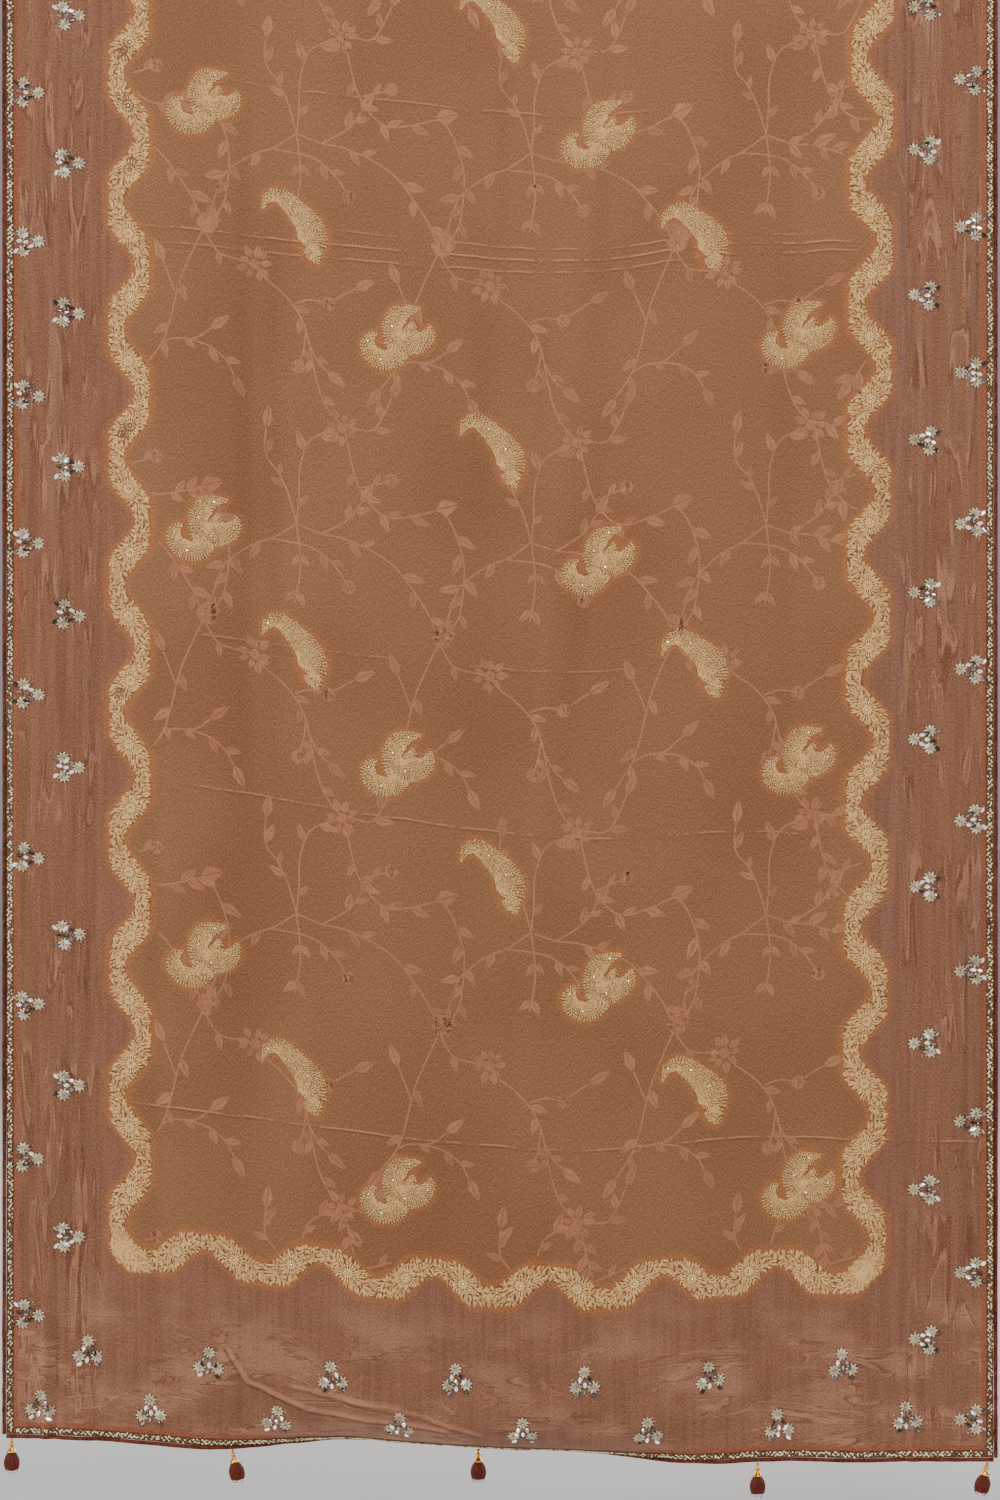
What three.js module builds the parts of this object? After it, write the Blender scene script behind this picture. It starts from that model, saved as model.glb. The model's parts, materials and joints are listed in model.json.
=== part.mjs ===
// An embroidered silk saree hung over a plain wooden rod, with its end panel, the pallu, in front.
// The cloth is one length: up the front, over the rod, down the back, round a turn at the bottom,
// and up again inside, where its plain end is tucked over the rod.
// Millimetres, +Z up. The pallu faces -Y, and the origin is the middle of the rod's axis.
import * as THREE from "three";

// The cut: one loom width of cloth, with a rolled binding sewn along its edges.
const SAREE_LENGTH = 5500;
const SAREE_WIDTH = 1140;
const CLOTH = 1.4;
const SEAM_GAP = 0.3;
const BINDING_RADIUS = 2.3;
const CLOTH_HALF = SAREE_WIDTH / 2 - 2 * BINDING_RADIUS - SEAM_GAP;

// How it hangs.
const ROD_RADIUS = 16;
const ROD_LENGTH = 1300;
const ROD_SEGMENTS = 24;
const FRONT_DROP = 1950;
const BACK_DROP = 1600;
const TURN_RADIUS = 5;
const LAYER_GAP = 0.8;
const INNER_RADIUS = ROD_RADIUS + SEAM_GAP + CLOTH / 2;
const OUTER_RADIUS = INNER_RADIUS + CLOTH + LAYER_GAP;

// Lengths along the cloth, from the level of the hem's right corner.
const BACK_STRAIGHT = BACK_DROP - TURN_RADIUS;
const AT_FRONT_ROD = FRONT_DROP;
const AT_BACK_ROD = AT_FRONT_ROD + Math.PI * OUTER_RADIUS;
const AT_TURN = AT_BACK_ROD + BACK_STRAIGHT;
const AT_INNER = AT_TURN + Math.PI * TURN_RADIUS;
const AT_INNER_ROD = AT_INNER + BACK_STRAIGHT;
const AT_TUCK = AT_INNER_ROD + Math.PI * INNER_RADIUS;
const AT_ROD_TOP = (AT_FRONT_ROD + AT_BACK_ROD) / 2;
const AT_TURN_BOTTOM = (AT_TURN + AT_INNER) / 2;
const TUCKED_LENGTH = SAREE_LENGTH - AT_TUCK;

// The weave bows: it sags below its right corner in the middle, and its left corner hangs higher.
const BOW = { sag: 21, centre: 80, leftRise: 48, leftReach: 650, rightRise: 21, rightReach: 230 };

// The hem rolls backwards in the middle.
const ROLL = { length: 75, angle: THREE.MathUtils.degToRad(80) };
const ROLL_SPAN = { leftStart: -400, leftFull: -140, rightFull: 70, rightEnd: 310 };

// The broad upright folds: a positive depth goes away from a viewer in front of the saree.
// x is the fold's middle at the height "at", lean is its shift for each millimetre of height.
const FRONT_FOLDS = [
  { x: -458, half: 62, depth: 6.0, at: -1550, lean: 0.01, top: 380, foot: 1990 },
  { x: -345, half: 70, depth: -4.5, at: -1200, lean: -0.02, top: 300, foot: 2200 },
  { x: -262, half: 66, depth: 6.5, at: -1000, lean: 0.02, top: 420, foot: 1720 },
  { x: -120, half: 90, depth: -5.0, at: -1000, lean: 0.01, top: 300, foot: 2200 },
  { x: 18, half: 72, depth: 7.5, at: -900, lean: 0.05, top: 260, foot: 1800 },
  { x: 112, half: 56, depth: 5.5, at: -900, lean: 0.09, top: 520, foot: 1500 },
  { x: 220, half: 80, depth: -5.5, at: -1000, lean: 0.0, top: 300, foot: 2200 },
  { x: 336, half: 70, depth: 7.5, at: -1000, lean: -0.01, top: 240, foot: 1850 },
  { x: 405, half: 50, depth: -3.5, at: -1000, lean: 0.0, top: 300, foot: 2200 },
  { x: 476, half: 52, depth: 6.0, at: -1000, lean: 0.01, top: 260, foot: 1900 },
];
const BACK_FOLDS = [
  { x: -430, half: 80, depth: 5.0, at: -900, lean: 0.02, top: 260, foot: 2000 },
  { x: -250, half: 95, depth: -5.0, at: -900, lean: -0.03, top: 300, foot: 2000 },
  { x: -70, half: 85, depth: 5.5, at: -900, lean: 0.02, top: 220, foot: 2000 },
  { x: 120, half: 90, depth: -4.5, at: -900, lean: 0.03, top: 320, foot: 2000 },
  { x: 300, half: 80, depth: 5.5, at: -900, lean: -0.02, top: 260, foot: 2000 },
  { x: 455, half: 65, depth: -4.0, at: -900, lean: 0.0, top: 300, foot: 2000 },
];
const FOLD_EASE = 260;

// The creases left by storing the saree folded: v is the height above the hem along the cloth.
const CREASES = [
  { v: 386, slope: -0.03, height: 1.6 },
  { v: 744, slope: -0.04, height: 1.6 },
  { v: 1385, slope: 0.0, height: 2.0 },
  { v: 1560, slope: -0.02, height: 1.2 },
];
const CREASE_HALF = 12;

// The flat metal-thread lace, 8 mm wide, sewn just inside the binding.
const LACE = { inset: 3.6, width: 8, thick: 1.1 };

// Where the five drops hang on the hem, and how far each leans sideways.
const DROPS = [
  { x: -559, lean: 0 },
  { x: -308, lean: -11 },
  { x: -25, lean: 0 },
  { x: 295, lean: 0 },
  { x: 559, lean: 13 },
];
const DROP_GAP = 0.4;
const DROP_SEGMENTS = 10;

// Mesh density.
const COLUMNS = 28;
const ARC_STEP = THREE.MathUtils.degToRad(15);
const TUBE_SIDES = 6;

const PIECES = {
  silk: { color: 0x95694a, roughness: 0.55, metalness: 0 },
  binding: { color: 0x6e3c28, roughness: 0.6, metalness: 0 },
  lace: { color: 0xb59a76, roughness: 0.35, metalness: 0.8 },
  gold: { color: 0xc79a3a, roughness: 0.3, metalness: 1 },
  thread: { color: 0x6b2f1c, roughness: 0.5, metalness: 0 },
  beads: { color: 0xd8d4cc, roughness: 0.2, metalness: 0.3 },
  wood: { color: 0xb98d5c, roughness: 0.5, metalness: 0 },
};

const saree = new THREE.Group();

function addPiece(name, geometry, finish, parent = saree) {
  const mesh = new THREE.Mesh(geometry, new THREE.MeshStandardMaterial(PIECES[finish]));
  mesh.name = name;
  parent.add(mesh);
  return mesh;
}

const smooth = (from, to, value) => THREE.MathUtils.smoothstep(value, from, to);

function bow(u) {
  const left = BOW.leftRise * smooth(0, BOW.leftReach, BOW.centre - u);
  const right = BOW.rightRise * smooth(0, BOW.rightReach, u - BOW.centre);
  return left + right - BOW.sag;
}

function hemRoll(u) {
  const rising = smooth(ROLL_SPAN.leftStart, ROLL_SPAN.leftFull, u);
  const falling = 1 - smooth(ROLL_SPAN.rightFull, ROLL_SPAN.rightEnd, u);
  return ROLL.angle * rising * falling;
}

// One fold is a raised cosine across, which eases in below the rod and out at its foot.
function foldDepth(folds, u, drop) {
  let depth = 0;
  for (const fold of folds) {
    const away = Math.abs(u - fold.x - fold.lean * (-drop - fold.at)) / fold.half;
    if (away < 1) {
      const across = (1 + Math.cos(Math.PI * away)) / 2;
      const easeIn = smooth(fold.top - FOLD_EASE, fold.top, drop);
      const easeOut = 1 - smooth(fold.foot - FOLD_EASE, fold.foot, drop);
      depth += fold.depth * across * easeIn * easeOut;
    }
  }
  return depth;
}

function creaseHeight(u, v) {
  let height = 0;
  for (const crease of CREASES) {
    const away = Math.abs(v - crease.v - crease.slope * u) / CREASE_HALF;
    height += crease.height * Math.max(0, 1 - away);
  }
  return height;
}

// The middle of the cloth's wall, at u across and s along.
function clothPoint(u, s) {
  if (s < AT_FRONT_ROD) {
    const v = s - bow(u);
    const drop = FRONT_DROP - s;
    const folded = -OUTER_RADIUS + foldDepth(FRONT_FOLDS, u, drop) - creaseHeight(u, v);
    const roll = hemRoll(u);
    if (v >= ROLL.length || roll < 1e-4) {
      return new THREE.Vector3(u, folded, -drop);
    }
    const radius = ROLL.length / roll;
    const turned = roll * (1 - v / ROLL.length);
    const start = -FRONT_DROP + bow(u) + ROLL.length;
    return new THREE.Vector3(
      u,
      folded + radius * (1 - Math.cos(turned)),
      start - radius * Math.sin(turned),
    );
  }
  if (s < AT_BACK_ROD) {
    const angle = (s - AT_FRONT_ROD) / OUTER_RADIUS;
    return new THREE.Vector3(u, -OUTER_RADIUS * Math.cos(angle), OUTER_RADIUS * Math.sin(angle));
  }
  if (s < AT_TURN) {
    const drop = s - AT_BACK_ROD;
    return new THREE.Vector3(u, OUTER_RADIUS - foldDepth(BACK_FOLDS, u, drop), -drop);
  }
  if (s < AT_INNER) {
    const angle = (s - AT_TURN) / TURN_RADIUS;
    const centre = OUTER_RADIUS - foldDepth(BACK_FOLDS, u, BACK_STRAIGHT) - TURN_RADIUS;
    return new THREE.Vector3(
      u,
      centre + TURN_RADIUS * Math.cos(angle),
      -BACK_STRAIGHT - TURN_RADIUS * Math.sin(angle),
    );
  }
  if (s < AT_INNER_ROD) {
    const drop = AT_INNER_ROD - s;
    const opened = (2 * TURN_RADIUS - CLOTH - LAYER_GAP) * smooth(BACK_DROP - 320, BACK_STRAIGHT, drop);
    return new THREE.Vector3(u, INNER_RADIUS - foldDepth(BACK_FOLDS, u, drop) - opened, -drop);
  }
  if (s < AT_TUCK) {
    const angle = (s - AT_INNER_ROD) / INNER_RADIUS;
    return new THREE.Vector3(u, INNER_RADIUS * Math.cos(angle), INNER_RADIUS * Math.sin(angle));
  }
  const drop = s - AT_TUCK;
  return new THREE.Vector3(u, -INNER_RADIUS + foldDepth(FRONT_FOLDS, u, drop), -drop);
}

// The direction that the cloth's right side faces, which is outwards at the front and the back.
function clothNormal(u, s) {
  const step = 0.5;
  const across = clothPoint(u + step, s).sub(clothPoint(u - step, s));
  const along = clothPoint(u, s + step).sub(clothPoint(u, s - step));
  return across.cross(along).normalize();
}

// Joins rings of points into one closed body, with each end closed in pairs across the ring.
// A ring goes out over one face of a wall and back over the other, and both faces are split
// along the same diagonals, so that they stay parallel. Crossed takes the other diagonals.
function loft(rings, crossed = false) {
  const size = rings[0].length;
  const positions = rings.flat().flatMap((point) => [point.x, point.y, point.z]);
  const faces = [];
  const quad = (a, b, c, d) => faces.push(a, b, c, a, c, d);
  for (let ring = 0; ring + 1 < rings.length; ring += 1) {
    for (let i = 0; i < size; i += 1) {
      const next = (i + 1) % size;
      const low = ring * size;
      const high = low + size;
      const returning = i >= size / 2;
      if (returning === crossed) {
        quad(low + i, low + next, high + next, high + i);
      } else {
        quad(low + next, high + next, high + i, low + i);
      }
    }
  }
  const last = (rings.length - 1) * size;
  for (let i = 0; i + 1 < size / 2; i += 1) {
    const other = size - 1 - i;
    quad(other, other - 1, i + 1, i);
    quad(last + i, last + i + 1, last + other - 1, last + other);
  }
  const geometry = new THREE.BufferGeometry();
  geometry.setAttribute("position", new THREE.Float32BufferAttribute(positions, 3));
  geometry.setIndex(faces);
  return geometry;
}

// The grid of a stretch of cloth: for each row, a middle point and a normal at each column.
function clothGrid(rows, columns) {
  return rows.map((rowAt) =>
    columns.map((u) => {
      const s = rowAt(u);
      return { point: clothPoint(u, s), normal: clothNormal(u, s) };
    }),
  );
}

// A wall of the given thickness, whose middle lies "out" from the grid along its normals.
function wall(grid, thickness, out = 0, crossed = false) {
  return loft(
    grid.map((row) => {
      const at = (cell, level) => cell.point.clone().addScaledVector(cell.normal, level);
      const outer = row.map((cell) => at(cell, out + thickness / 2));
      const inner = row.map((cell) => at(cell, out - thickness / 2));
      return [...outer, ...inner.reverse()];
    }),
    crossed,
  );
}

// A tube of the binding's radius along centre points, each with the two directions of its ring.
function tube(stations) {
  return loft(
    stations.map(({ centre, first, second }) =>
      Array.from({ length: TUBE_SIDES }, (_, i) => {
        const angle = (2 * Math.PI * i) / TUBE_SIDES;
        return centre
          .clone()
          .addScaledVector(first, BINDING_RADIUS * Math.cos(angle))
          .addScaledVector(second, BINDING_RADIUS * Math.sin(angle));
      }),
    ),
  );
}

const mixCells = (a, b, share) => ({
  point: a.point.clone().lerp(b.point, share),
  normal: a.normal.clone().lerp(b.normal, share).normalize(),
});

// The cell at u on one row of a grid, on the straight line between the two columns beside it.
function cellAt(row, columns, u) {
  const right = Math.max(1, columns.findIndex((x) => x >= u));
  const share = (u - columns[right - 1]) / (columns[right] - columns[right - 1]);
  return mixCells(row[right - 1], row[right], share);
}

// Columns run evenly across the cloth. Rows are functions of u that give s.
const columns = Array.from(
  { length: COLUMNS + 1 },
  (_, i) => -CLOTH_HALF + (2 * CLOTH_HALF * i) / COLUMNS,
);
const level = (s) => () => s;
const aboveHem = (v) => (u) => v + bow(u);
const arcRows = (from, radius, count) =>
  Array.from({ length: count }, (_, i) => level(from + radius * ARC_STEP * (i + 1)));
const evenRows = (from, to, count) =>
  Array.from({ length: count }, (_, i) => level(from + ((to - from) * (i + 1)) / count));

const creaseRows = (crease) =>
  [-CREASE_HALF, 0, CREASE_HALF].map((away) => (u) => crease.v + crease.slope * u + away + bow(u));
const LACE_ROWS = [LACE.inset, LACE.inset + LACE.width];
const HEM_ROWS = [0, ...LACE_ROWS, 30, 52, ROLL.length, 140, 250].map(aboveHem);
const QUARTER = 6;
const frontRows = [
  ...HEM_ROWS,
  ...creaseRows(CREASES[0]),
  ...[500, 620].map(aboveHem),
  ...creaseRows(CREASES[1]),
  ...[870, 990, 1120, 1250].map(aboveHem),
  ...creaseRows(CREASES[2]),
  aboveHem(1470),
  ...creaseRows(CREASES[3]),
  ...[TUCKED_LENGTH, TUCKED_LENGTH / 2, 0].map((drop) => level(AT_FRONT_ROD - drop)),
  ...arcRows(AT_FRONT_ROD, OUTER_RADIUS, QUARTER - 1),
  level(AT_ROD_TOP - SEAM_GAP / 2),
];
const backRows = [
  level(AT_ROD_TOP + SEAM_GAP / 2),
  ...arcRows(AT_ROD_TOP, OUTER_RADIUS, QUARTER),
  ...evenRows(AT_BACK_ROD, AT_BACK_ROD + 360, 3),
  ...evenRows(AT_BACK_ROD + 360, AT_TURN, 6),
  ...[0.25, 0.5, 0.75].map((share) => level(AT_TURN + share * (AT_TURN_BOTTOM - AT_TURN))),
  level(AT_TURN_BOTTOM - SEAM_GAP / 2),
];
const innerRows = [
  level(AT_TURN_BOTTOM + SEAM_GAP / 2),
  ...[0.25, 0.5, 0.75, 1].map((share) => level(AT_TURN_BOTTOM + share * (AT_INNER - AT_TURN_BOTTOM))),
  ...evenRows(AT_INNER, AT_INNER_ROD - 360, 6),
  ...evenRows(AT_INNER_ROD - 360, AT_INNER_ROD, 3),
  ...arcRows(AT_INNER_ROD, INNER_RADIUS, 2 * QUARTER),
  ...evenRows(AT_TUCK, SAREE_LENGTH, 2),
];

// The cloth itself, one wall for each stretch.
const frontGrid = clothGrid(frontRows, columns);
const backGrid = clothGrid(backRows, columns);
addPiece("pallu_front", wall(frontGrid, CLOTH), "silk");
addPiece("back_fall", wall(backGrid, CLOTH), "silk");
addPiece("inner_return", wall(clothGrid(innerRows, columns), CLOTH, 0, true), "silk");

// The rolled binding, on both sides and along the hem.
const BINDING_OUT = SEAM_GAP + BINDING_RADIUS;
const AXIS_X = new THREE.Vector3(1, 0, 0);
const AXIS_Y = new THREE.Vector3(0, 1, 0);
const AXIS_Z = new THREE.Vector3(0, 0, 1);

function sideBinding(grid, side) {
  const edge = side < 0 ? 0 : COLUMNS;
  return tube(
    grid.map((row) => ({
      centre: row[edge].point.clone().addScaledVector(AXIS_X, side * BINDING_OUT),
      first: row[edge].normal,
      second: AXIS_X,
    })),
  );
}

// The hem's binding stands off the cloth's lower edge, in line with the cloth there.
function hemStation(u) {
  const edge = cellAt(frontGrid[0], columns, u);
  const above = cellAt(frontGrid[1], columns, u);
  const down = edge.point.clone().sub(above.point).setX(0).normalize();
  return { centre: edge.point.clone().addScaledVector(down, BINDING_OUT), first: AXIS_Y, second: AXIS_Z };
}

for (const [name, side] of [["left", -1], ["right", 1]]) {
  addPiece("binding_" + name, sideBinding(frontGrid, side), "binding");
  addPiece("binding_back_" + name, sideBinding(backGrid, side), "binding");
}
addPiece("binding_hem", tube(columns.map(hemStation)), "binding");

// The lace lies on the cloth's right side: along the hem on two rows of the cloth's own points,
// and down the sides on points taken between its outer columns.
const LACE_OUT = CLOTH / 2 + SEAM_GAP + LACE.thick / 2;
const laceEdges = [CLOTH_HALF - LACE.inset, CLOTH_HALF - LACE.inset - LACE.width];

function sideLace(grid, side) {
  const across = laceEdges.map((x) => side * x).sort((a, b) => a - b);
  const strip = grid.map((row) => across.map((u) => cellAt(row, columns, u)));
  return wall(strip, LACE.thick, LACE_OUT);
}

function hemLace() {
  const end = laceEdges[1] - SEAM_GAP;
  const across = [-end, ...columns.slice(1, -1), end];
  const laceRows = frontGrid.slice(1, 1 + LACE_ROWS.length);
  const strip = laceRows.map((row) => across.map((u) => cellAt(row, columns, u)));
  return wall(strip, LACE.thick, LACE_OUT);
}

for (const [name, side] of [["left", -1], ["right", 1]]) {
  addPiece("lace_" + name, sideLace(frontGrid, side), "lace");
  addPiece("lace_back_" + name, sideLace(backGrid, side), "lace");
}
addPiece("lace_hem", hemLace(), "lace");

// A drop is a gold bead and cap, a thread-wrapped oval and a rim of glass beads, one below another.
const BEAD_RADIUS = 2.1;
const CAP = { neck: 1.1, beadRadius: 2.9, height: 9, radius: 5.2, thick: 1.2 };
const OVAL = { radius: 9, height: 21, shoulder: 3.4, foot: 6.2 };
const RIM = { radius: 6.4, thick: 1.3 };

function lathe(profile) {
  const points = profile.map(([radius, height]) => new THREE.Vector2(radius, height));
  return new THREE.LatheGeometry(points, DROP_SEGMENTS).rotateX(Math.PI / 2);
}

// Profiles are [radius, height] from the bottom up, with height 0 at the middle of the binding.
const CAP_TOP = -(BINDING_RADIUS + DROP_GAP);
const CAP_FOOT = CAP_TOP - 2 * BEAD_RADIUS - 2 * CAP.beadRadius - CAP.height;
const OVAL_TOP = CAP_FOOT + CAP.height - CAP.thick - SEAM_GAP - 2.5;
const OVAL_FOOT = OVAL_TOP - OVAL.height;

function capProfile() {
  const collar = CAP_FOOT + CAP.height;
  const beadMiddle = collar + CAP.beadRadius;
  const topMiddle = CAP_TOP - BEAD_RADIUS;
  return [
    [0, OVAL_TOP + SEAM_GAP],
    [OVAL.shoulder, OVAL_TOP + SEAM_GAP],
    [CAP.radius, CAP_FOOT + 2.2],
    [CAP.radius + 0.9, CAP_FOOT + 3],
    [3.1, collar - 0.6],
    [CAP.neck, collar],
    [CAP.beadRadius, beadMiddle],
    [CAP.neck, beadMiddle + CAP.beadRadius],
    [BEAD_RADIUS, topMiddle],
    [0, CAP_TOP],
  ];
}

// The oval narrows to a shoulder inside the cap and to a flat foot over the rim of beads.
function ovalProfile() {
  return [
    [0, OVAL_FOOT],
    [OVAL.foot, OVAL_FOOT],
    [8.2, OVAL_FOOT + 3.2],
    [OVAL.radius, OVAL_FOOT + 8],
    [8.0, OVAL_FOOT + 13],
    [5.2, OVAL_FOOT + 17.4],
    [OVAL.shoulder - 0.4, OVAL_TOP],
    [0, OVAL_TOP],
  ];
}

function rimProfile() {
  const middle = OVAL_FOOT - SEAM_GAP - RIM.thick;
  const round = [];
  for (let i = 0; i <= TUBE_SIDES; i += 1) {
    const angle = (2 * Math.PI * i) / TUBE_SIDES;
    round.push([RIM.radius + RIM.thick * Math.cos(angle), middle + RIM.thick * Math.sin(angle)]);
  }
  return round;
}

DROPS.forEach((drop, index) => {
  const hanger = new THREE.Group();
  hanger.position.copy(hemStation(drop.x).centre);
  hanger.rotation.y = THREE.MathUtils.degToRad(drop.lean);
  const name = "drop_" + (index + 1);
  addPiece(name + "_cap", lathe(capProfile()), "gold", hanger);
  addPiece(name + "_oval", lathe(ovalProfile()), "thread", hanger);
  addPiece(name + "_rim", lathe(rimProfile()), "beads", hanger);
  saree.add(hanger);
});

// The rod, with its two flat ends past the cloth's sides.
const rod = new THREE.CylinderGeometry(ROD_RADIUS, ROD_RADIUS, ROD_LENGTH, ROD_SEGMENTS);
addPiece("rod", rod.rotateZ(Math.PI / 2), "wood");

export default saree;
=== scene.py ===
import json
import math

import bpy
import numpy as np
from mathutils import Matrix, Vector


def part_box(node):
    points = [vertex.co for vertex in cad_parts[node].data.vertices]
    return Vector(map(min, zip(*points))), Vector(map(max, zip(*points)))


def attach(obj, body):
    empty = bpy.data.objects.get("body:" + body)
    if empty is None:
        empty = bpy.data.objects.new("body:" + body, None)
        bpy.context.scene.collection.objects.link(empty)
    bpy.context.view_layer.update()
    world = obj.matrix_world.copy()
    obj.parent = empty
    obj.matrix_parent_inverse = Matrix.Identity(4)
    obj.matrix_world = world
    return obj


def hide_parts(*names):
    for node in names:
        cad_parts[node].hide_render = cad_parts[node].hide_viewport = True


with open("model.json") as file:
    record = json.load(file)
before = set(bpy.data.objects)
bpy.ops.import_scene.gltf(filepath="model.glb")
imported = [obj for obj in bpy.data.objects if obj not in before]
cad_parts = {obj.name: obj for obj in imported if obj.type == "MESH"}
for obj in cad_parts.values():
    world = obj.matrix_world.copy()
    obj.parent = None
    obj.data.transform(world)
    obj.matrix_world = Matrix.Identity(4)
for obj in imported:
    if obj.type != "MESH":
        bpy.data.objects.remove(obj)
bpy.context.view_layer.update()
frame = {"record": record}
bpy.ops.object.select_all(action="DESELECT")

# The camera stands level in front of the hanging cloth. Its frame takes in the cloth from side to
# side, and from just below the drops on the hem to 0.3 m below the rod.
CAMERA_DISTANCE = 4.06
FRAME_HEIGHT = 1.7175
FRAME_MIDDLE = -1.140
SENSOR_HEIGHT = 36
FRONT_PLANE = -0.019
bpy.ops.object.camera_add(
    location=(0, FRONT_PLANE - CAMERA_DISTANCE, FRAME_MIDDLE), rotation=(math.pi / 2, 0, 0)
)
camera = bpy.context.object
camera.name = "camera"
camera.data.sensor_fit = "VERTICAL"
camera.data.sensor_height = SENSOR_HEIGHT
camera.data.lens = SENSOR_HEIGHT * CAMERA_DISTANCE / FRAME_HEIGHT
bpy.context.scene.camera = camera


# The room is a plain pale floor under an even, pale sky. Soft lights stand on both sides, above
# and behind, so that the folds show.
FLOOR_LEVEL = -2.10
FLOOR_SIZE = 60.0


class Dye:
    """A value in a material's nodes. Arithmetic on it adds Math nodes."""

    def __init__(self, finish, socket):
        self.finish = finish
        self.socket = socket

    def math(self, operation, *values):
        return self.finish.add("Math", {"operation": operation}, dict(enumerate(values)))

    def __add__(self, other):
        return self.math("ADD", self, other)

    def __radd__(self, other):
        return self.math("ADD", other, self)

    def __sub__(self, other):
        return self.math("SUBTRACT", self, other)

    def __rsub__(self, other):
        return self.math("SUBTRACT", other, self)

    def __mul__(self, other):
        return self.math("MULTIPLY", self, other)

    def __rmul__(self, other):
        return self.math("MULTIPLY", other, self)

    def __abs__(self):
        return self.math("ABSOLUTE", self)

    def lowest(self, other):
        return self.math("MINIMUM", self, other)

    def highest(self, other):
        return self.math("MAXIMUM", self, other)

    def rise(self, low, high):
        """Goes smoothly from 0 at low to 1 at high."""
        settings = {"interpolation_type": "SMOOTHSTEP"}
        inputs = {"Value": self, "From Min": low, "From Max": high}
        return self.finish.add("MapRange", settings, inputs)


class Finish:
    """A material with one surface shader, and the nodes that feed it."""

    def __init__(self, name, **constants):
        self.material = bpy.data.materials.new(name)
        self.material.use_nodes = True
        self.tree = self.material.node_tree
        self.shader = self.tree.nodes["Principled BSDF"]
        for key, value in constants.items():
            self.set(key.replace("_", " "), value)

    def feed(self, socket, value):
        if isinstance(value, Dye):
            self.tree.links.new(value.socket, socket)
        elif socket.type == "RGBA" and len(value) == 3:
            socket.default_value = (*value, 1)
        else:
            socket.default_value = value

    def set(self, name, value):
        self.feed(self.shader.inputs[name], value)

    def add(self, kind, settings, inputs, output=0):
        node = self.tree.nodes.new("ShaderNode" + kind)
        for key, value in settings.items():
            setattr(node, key, value)
        for key, value in inputs.items():
            self.feed(node.inputs[key], value)
        return Dye(self, node.outputs[output])

    def mix(self, share, first, second):
        settings = {"data_type": "RGBA", "clamp_factor": True}
        return self.add("Mix", settings, {0: share, 6: first, 7: second}, 2)

    def place(self, scale=(1, 1, 1), uv=None):
        """The place on the piece, from its own points or from a UV map, stretched by scale."""
        if uv:
            where = self.add("UVMap", {"uv_map": uv}, {})
        else:
            where = self.add("TexCoord", {}, {}, 3)
        return self.add("Mapping", {}, {"Vector": where, "Scale": scale})

    def noise(self, scale, detail=2.0, rough=0.5, where=None, waver=0.0):
        inputs = {"Scale": scale, "Detail": detail, "Roughness": rough, "Distortion": waver}
        inputs["Vector"] = where or self.place()
        return self.add("TexNoise", {}, inputs)

    def attribute(self, name):
        return self.add("Attribute", {"attribute_name": name}, {}, 2)

    def bump(self, height, distance, strength=1.0):
        inputs = {"Height": height, "Distance": distance, "Strength": strength}
        self.set("Normal", self.add("Bump", {}, inputs))


# The soft view of the render pales a colour, so each one goes in a little deeper.
DEEPEN_POWER = 1.30
DEEPEN_SHARE = 1.16


def shade(red, green, blue):
    """A display colour, 0 to 255, as the linear colour that shows as it."""
    parts = [(part / 255 + 0.055) / 1.055 for part in (red, green, blue)]
    return tuple(min(1.0, DEEPEN_SHARE * (part**2.4) ** DEEPEN_POWER) for part in parts)


bpy.ops.mesh.primitive_plane_add(size=FLOOR_SIZE, location=(0, 0, FLOOR_LEVEL))
floor = bpy.context.object
floor.name = "floor"
bpy.ops.object.transform_apply(location=True)
floor.select_set(False)
floor_paint = Finish("pale_paint", Roughness=0.9)
mottle = floor_paint.noise(3.0)
floor_paint.set("Base Color", floor_paint.mix(mottle, (0.78, 0.77, 0.75), (0.83, 0.82, 0.80)))
floor.data.materials.append(floor_paint.material)

for name, place, aim, size, power in (
    ("light_left", (-3.6, -1.8, -0.5), (0, 0, -1.2), 1.0, 106),
    ("light_right", (3.4, -2.3, -0.6), (0, 0, -1.2), 1.6, 60),
    ("light_top", (0.3, -1.9, 1.1), (0, 0, -1.6), 1.2, 40),
    ("light_back_left", (3.6, 3.4, 0.2), (0, 0, -1.0), 2.4, 150),
    ("light_back_right", (-3.2, 4.0, 0.6), (0, 0, -1.0), 2.4, 110),
):
    bpy.ops.object.light_add(type="AREA", location=place)
    light = bpy.context.object
    light.name = name
    light.data.size = size
    light.data.energy = power
    towards = np.subtract(aim, place)
    level_reach = math.hypot(towards[0], towards[1])
    light.rotation_euler = (
        math.atan2(level_reach, -towards[2]), 0, math.atan2(-towards[0], towards[1])
    )

world = bpy.data.worlds.new("room_air")
world.use_nodes = True
world.node_tree.nodes["Background"].inputs["Color"].default_value = (0.93, 0.96, 1.0, 1)
world.node_tree.nodes["Background"].inputs["Strength"].default_value = 0.31
bpy.context.scene.world = world


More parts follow.
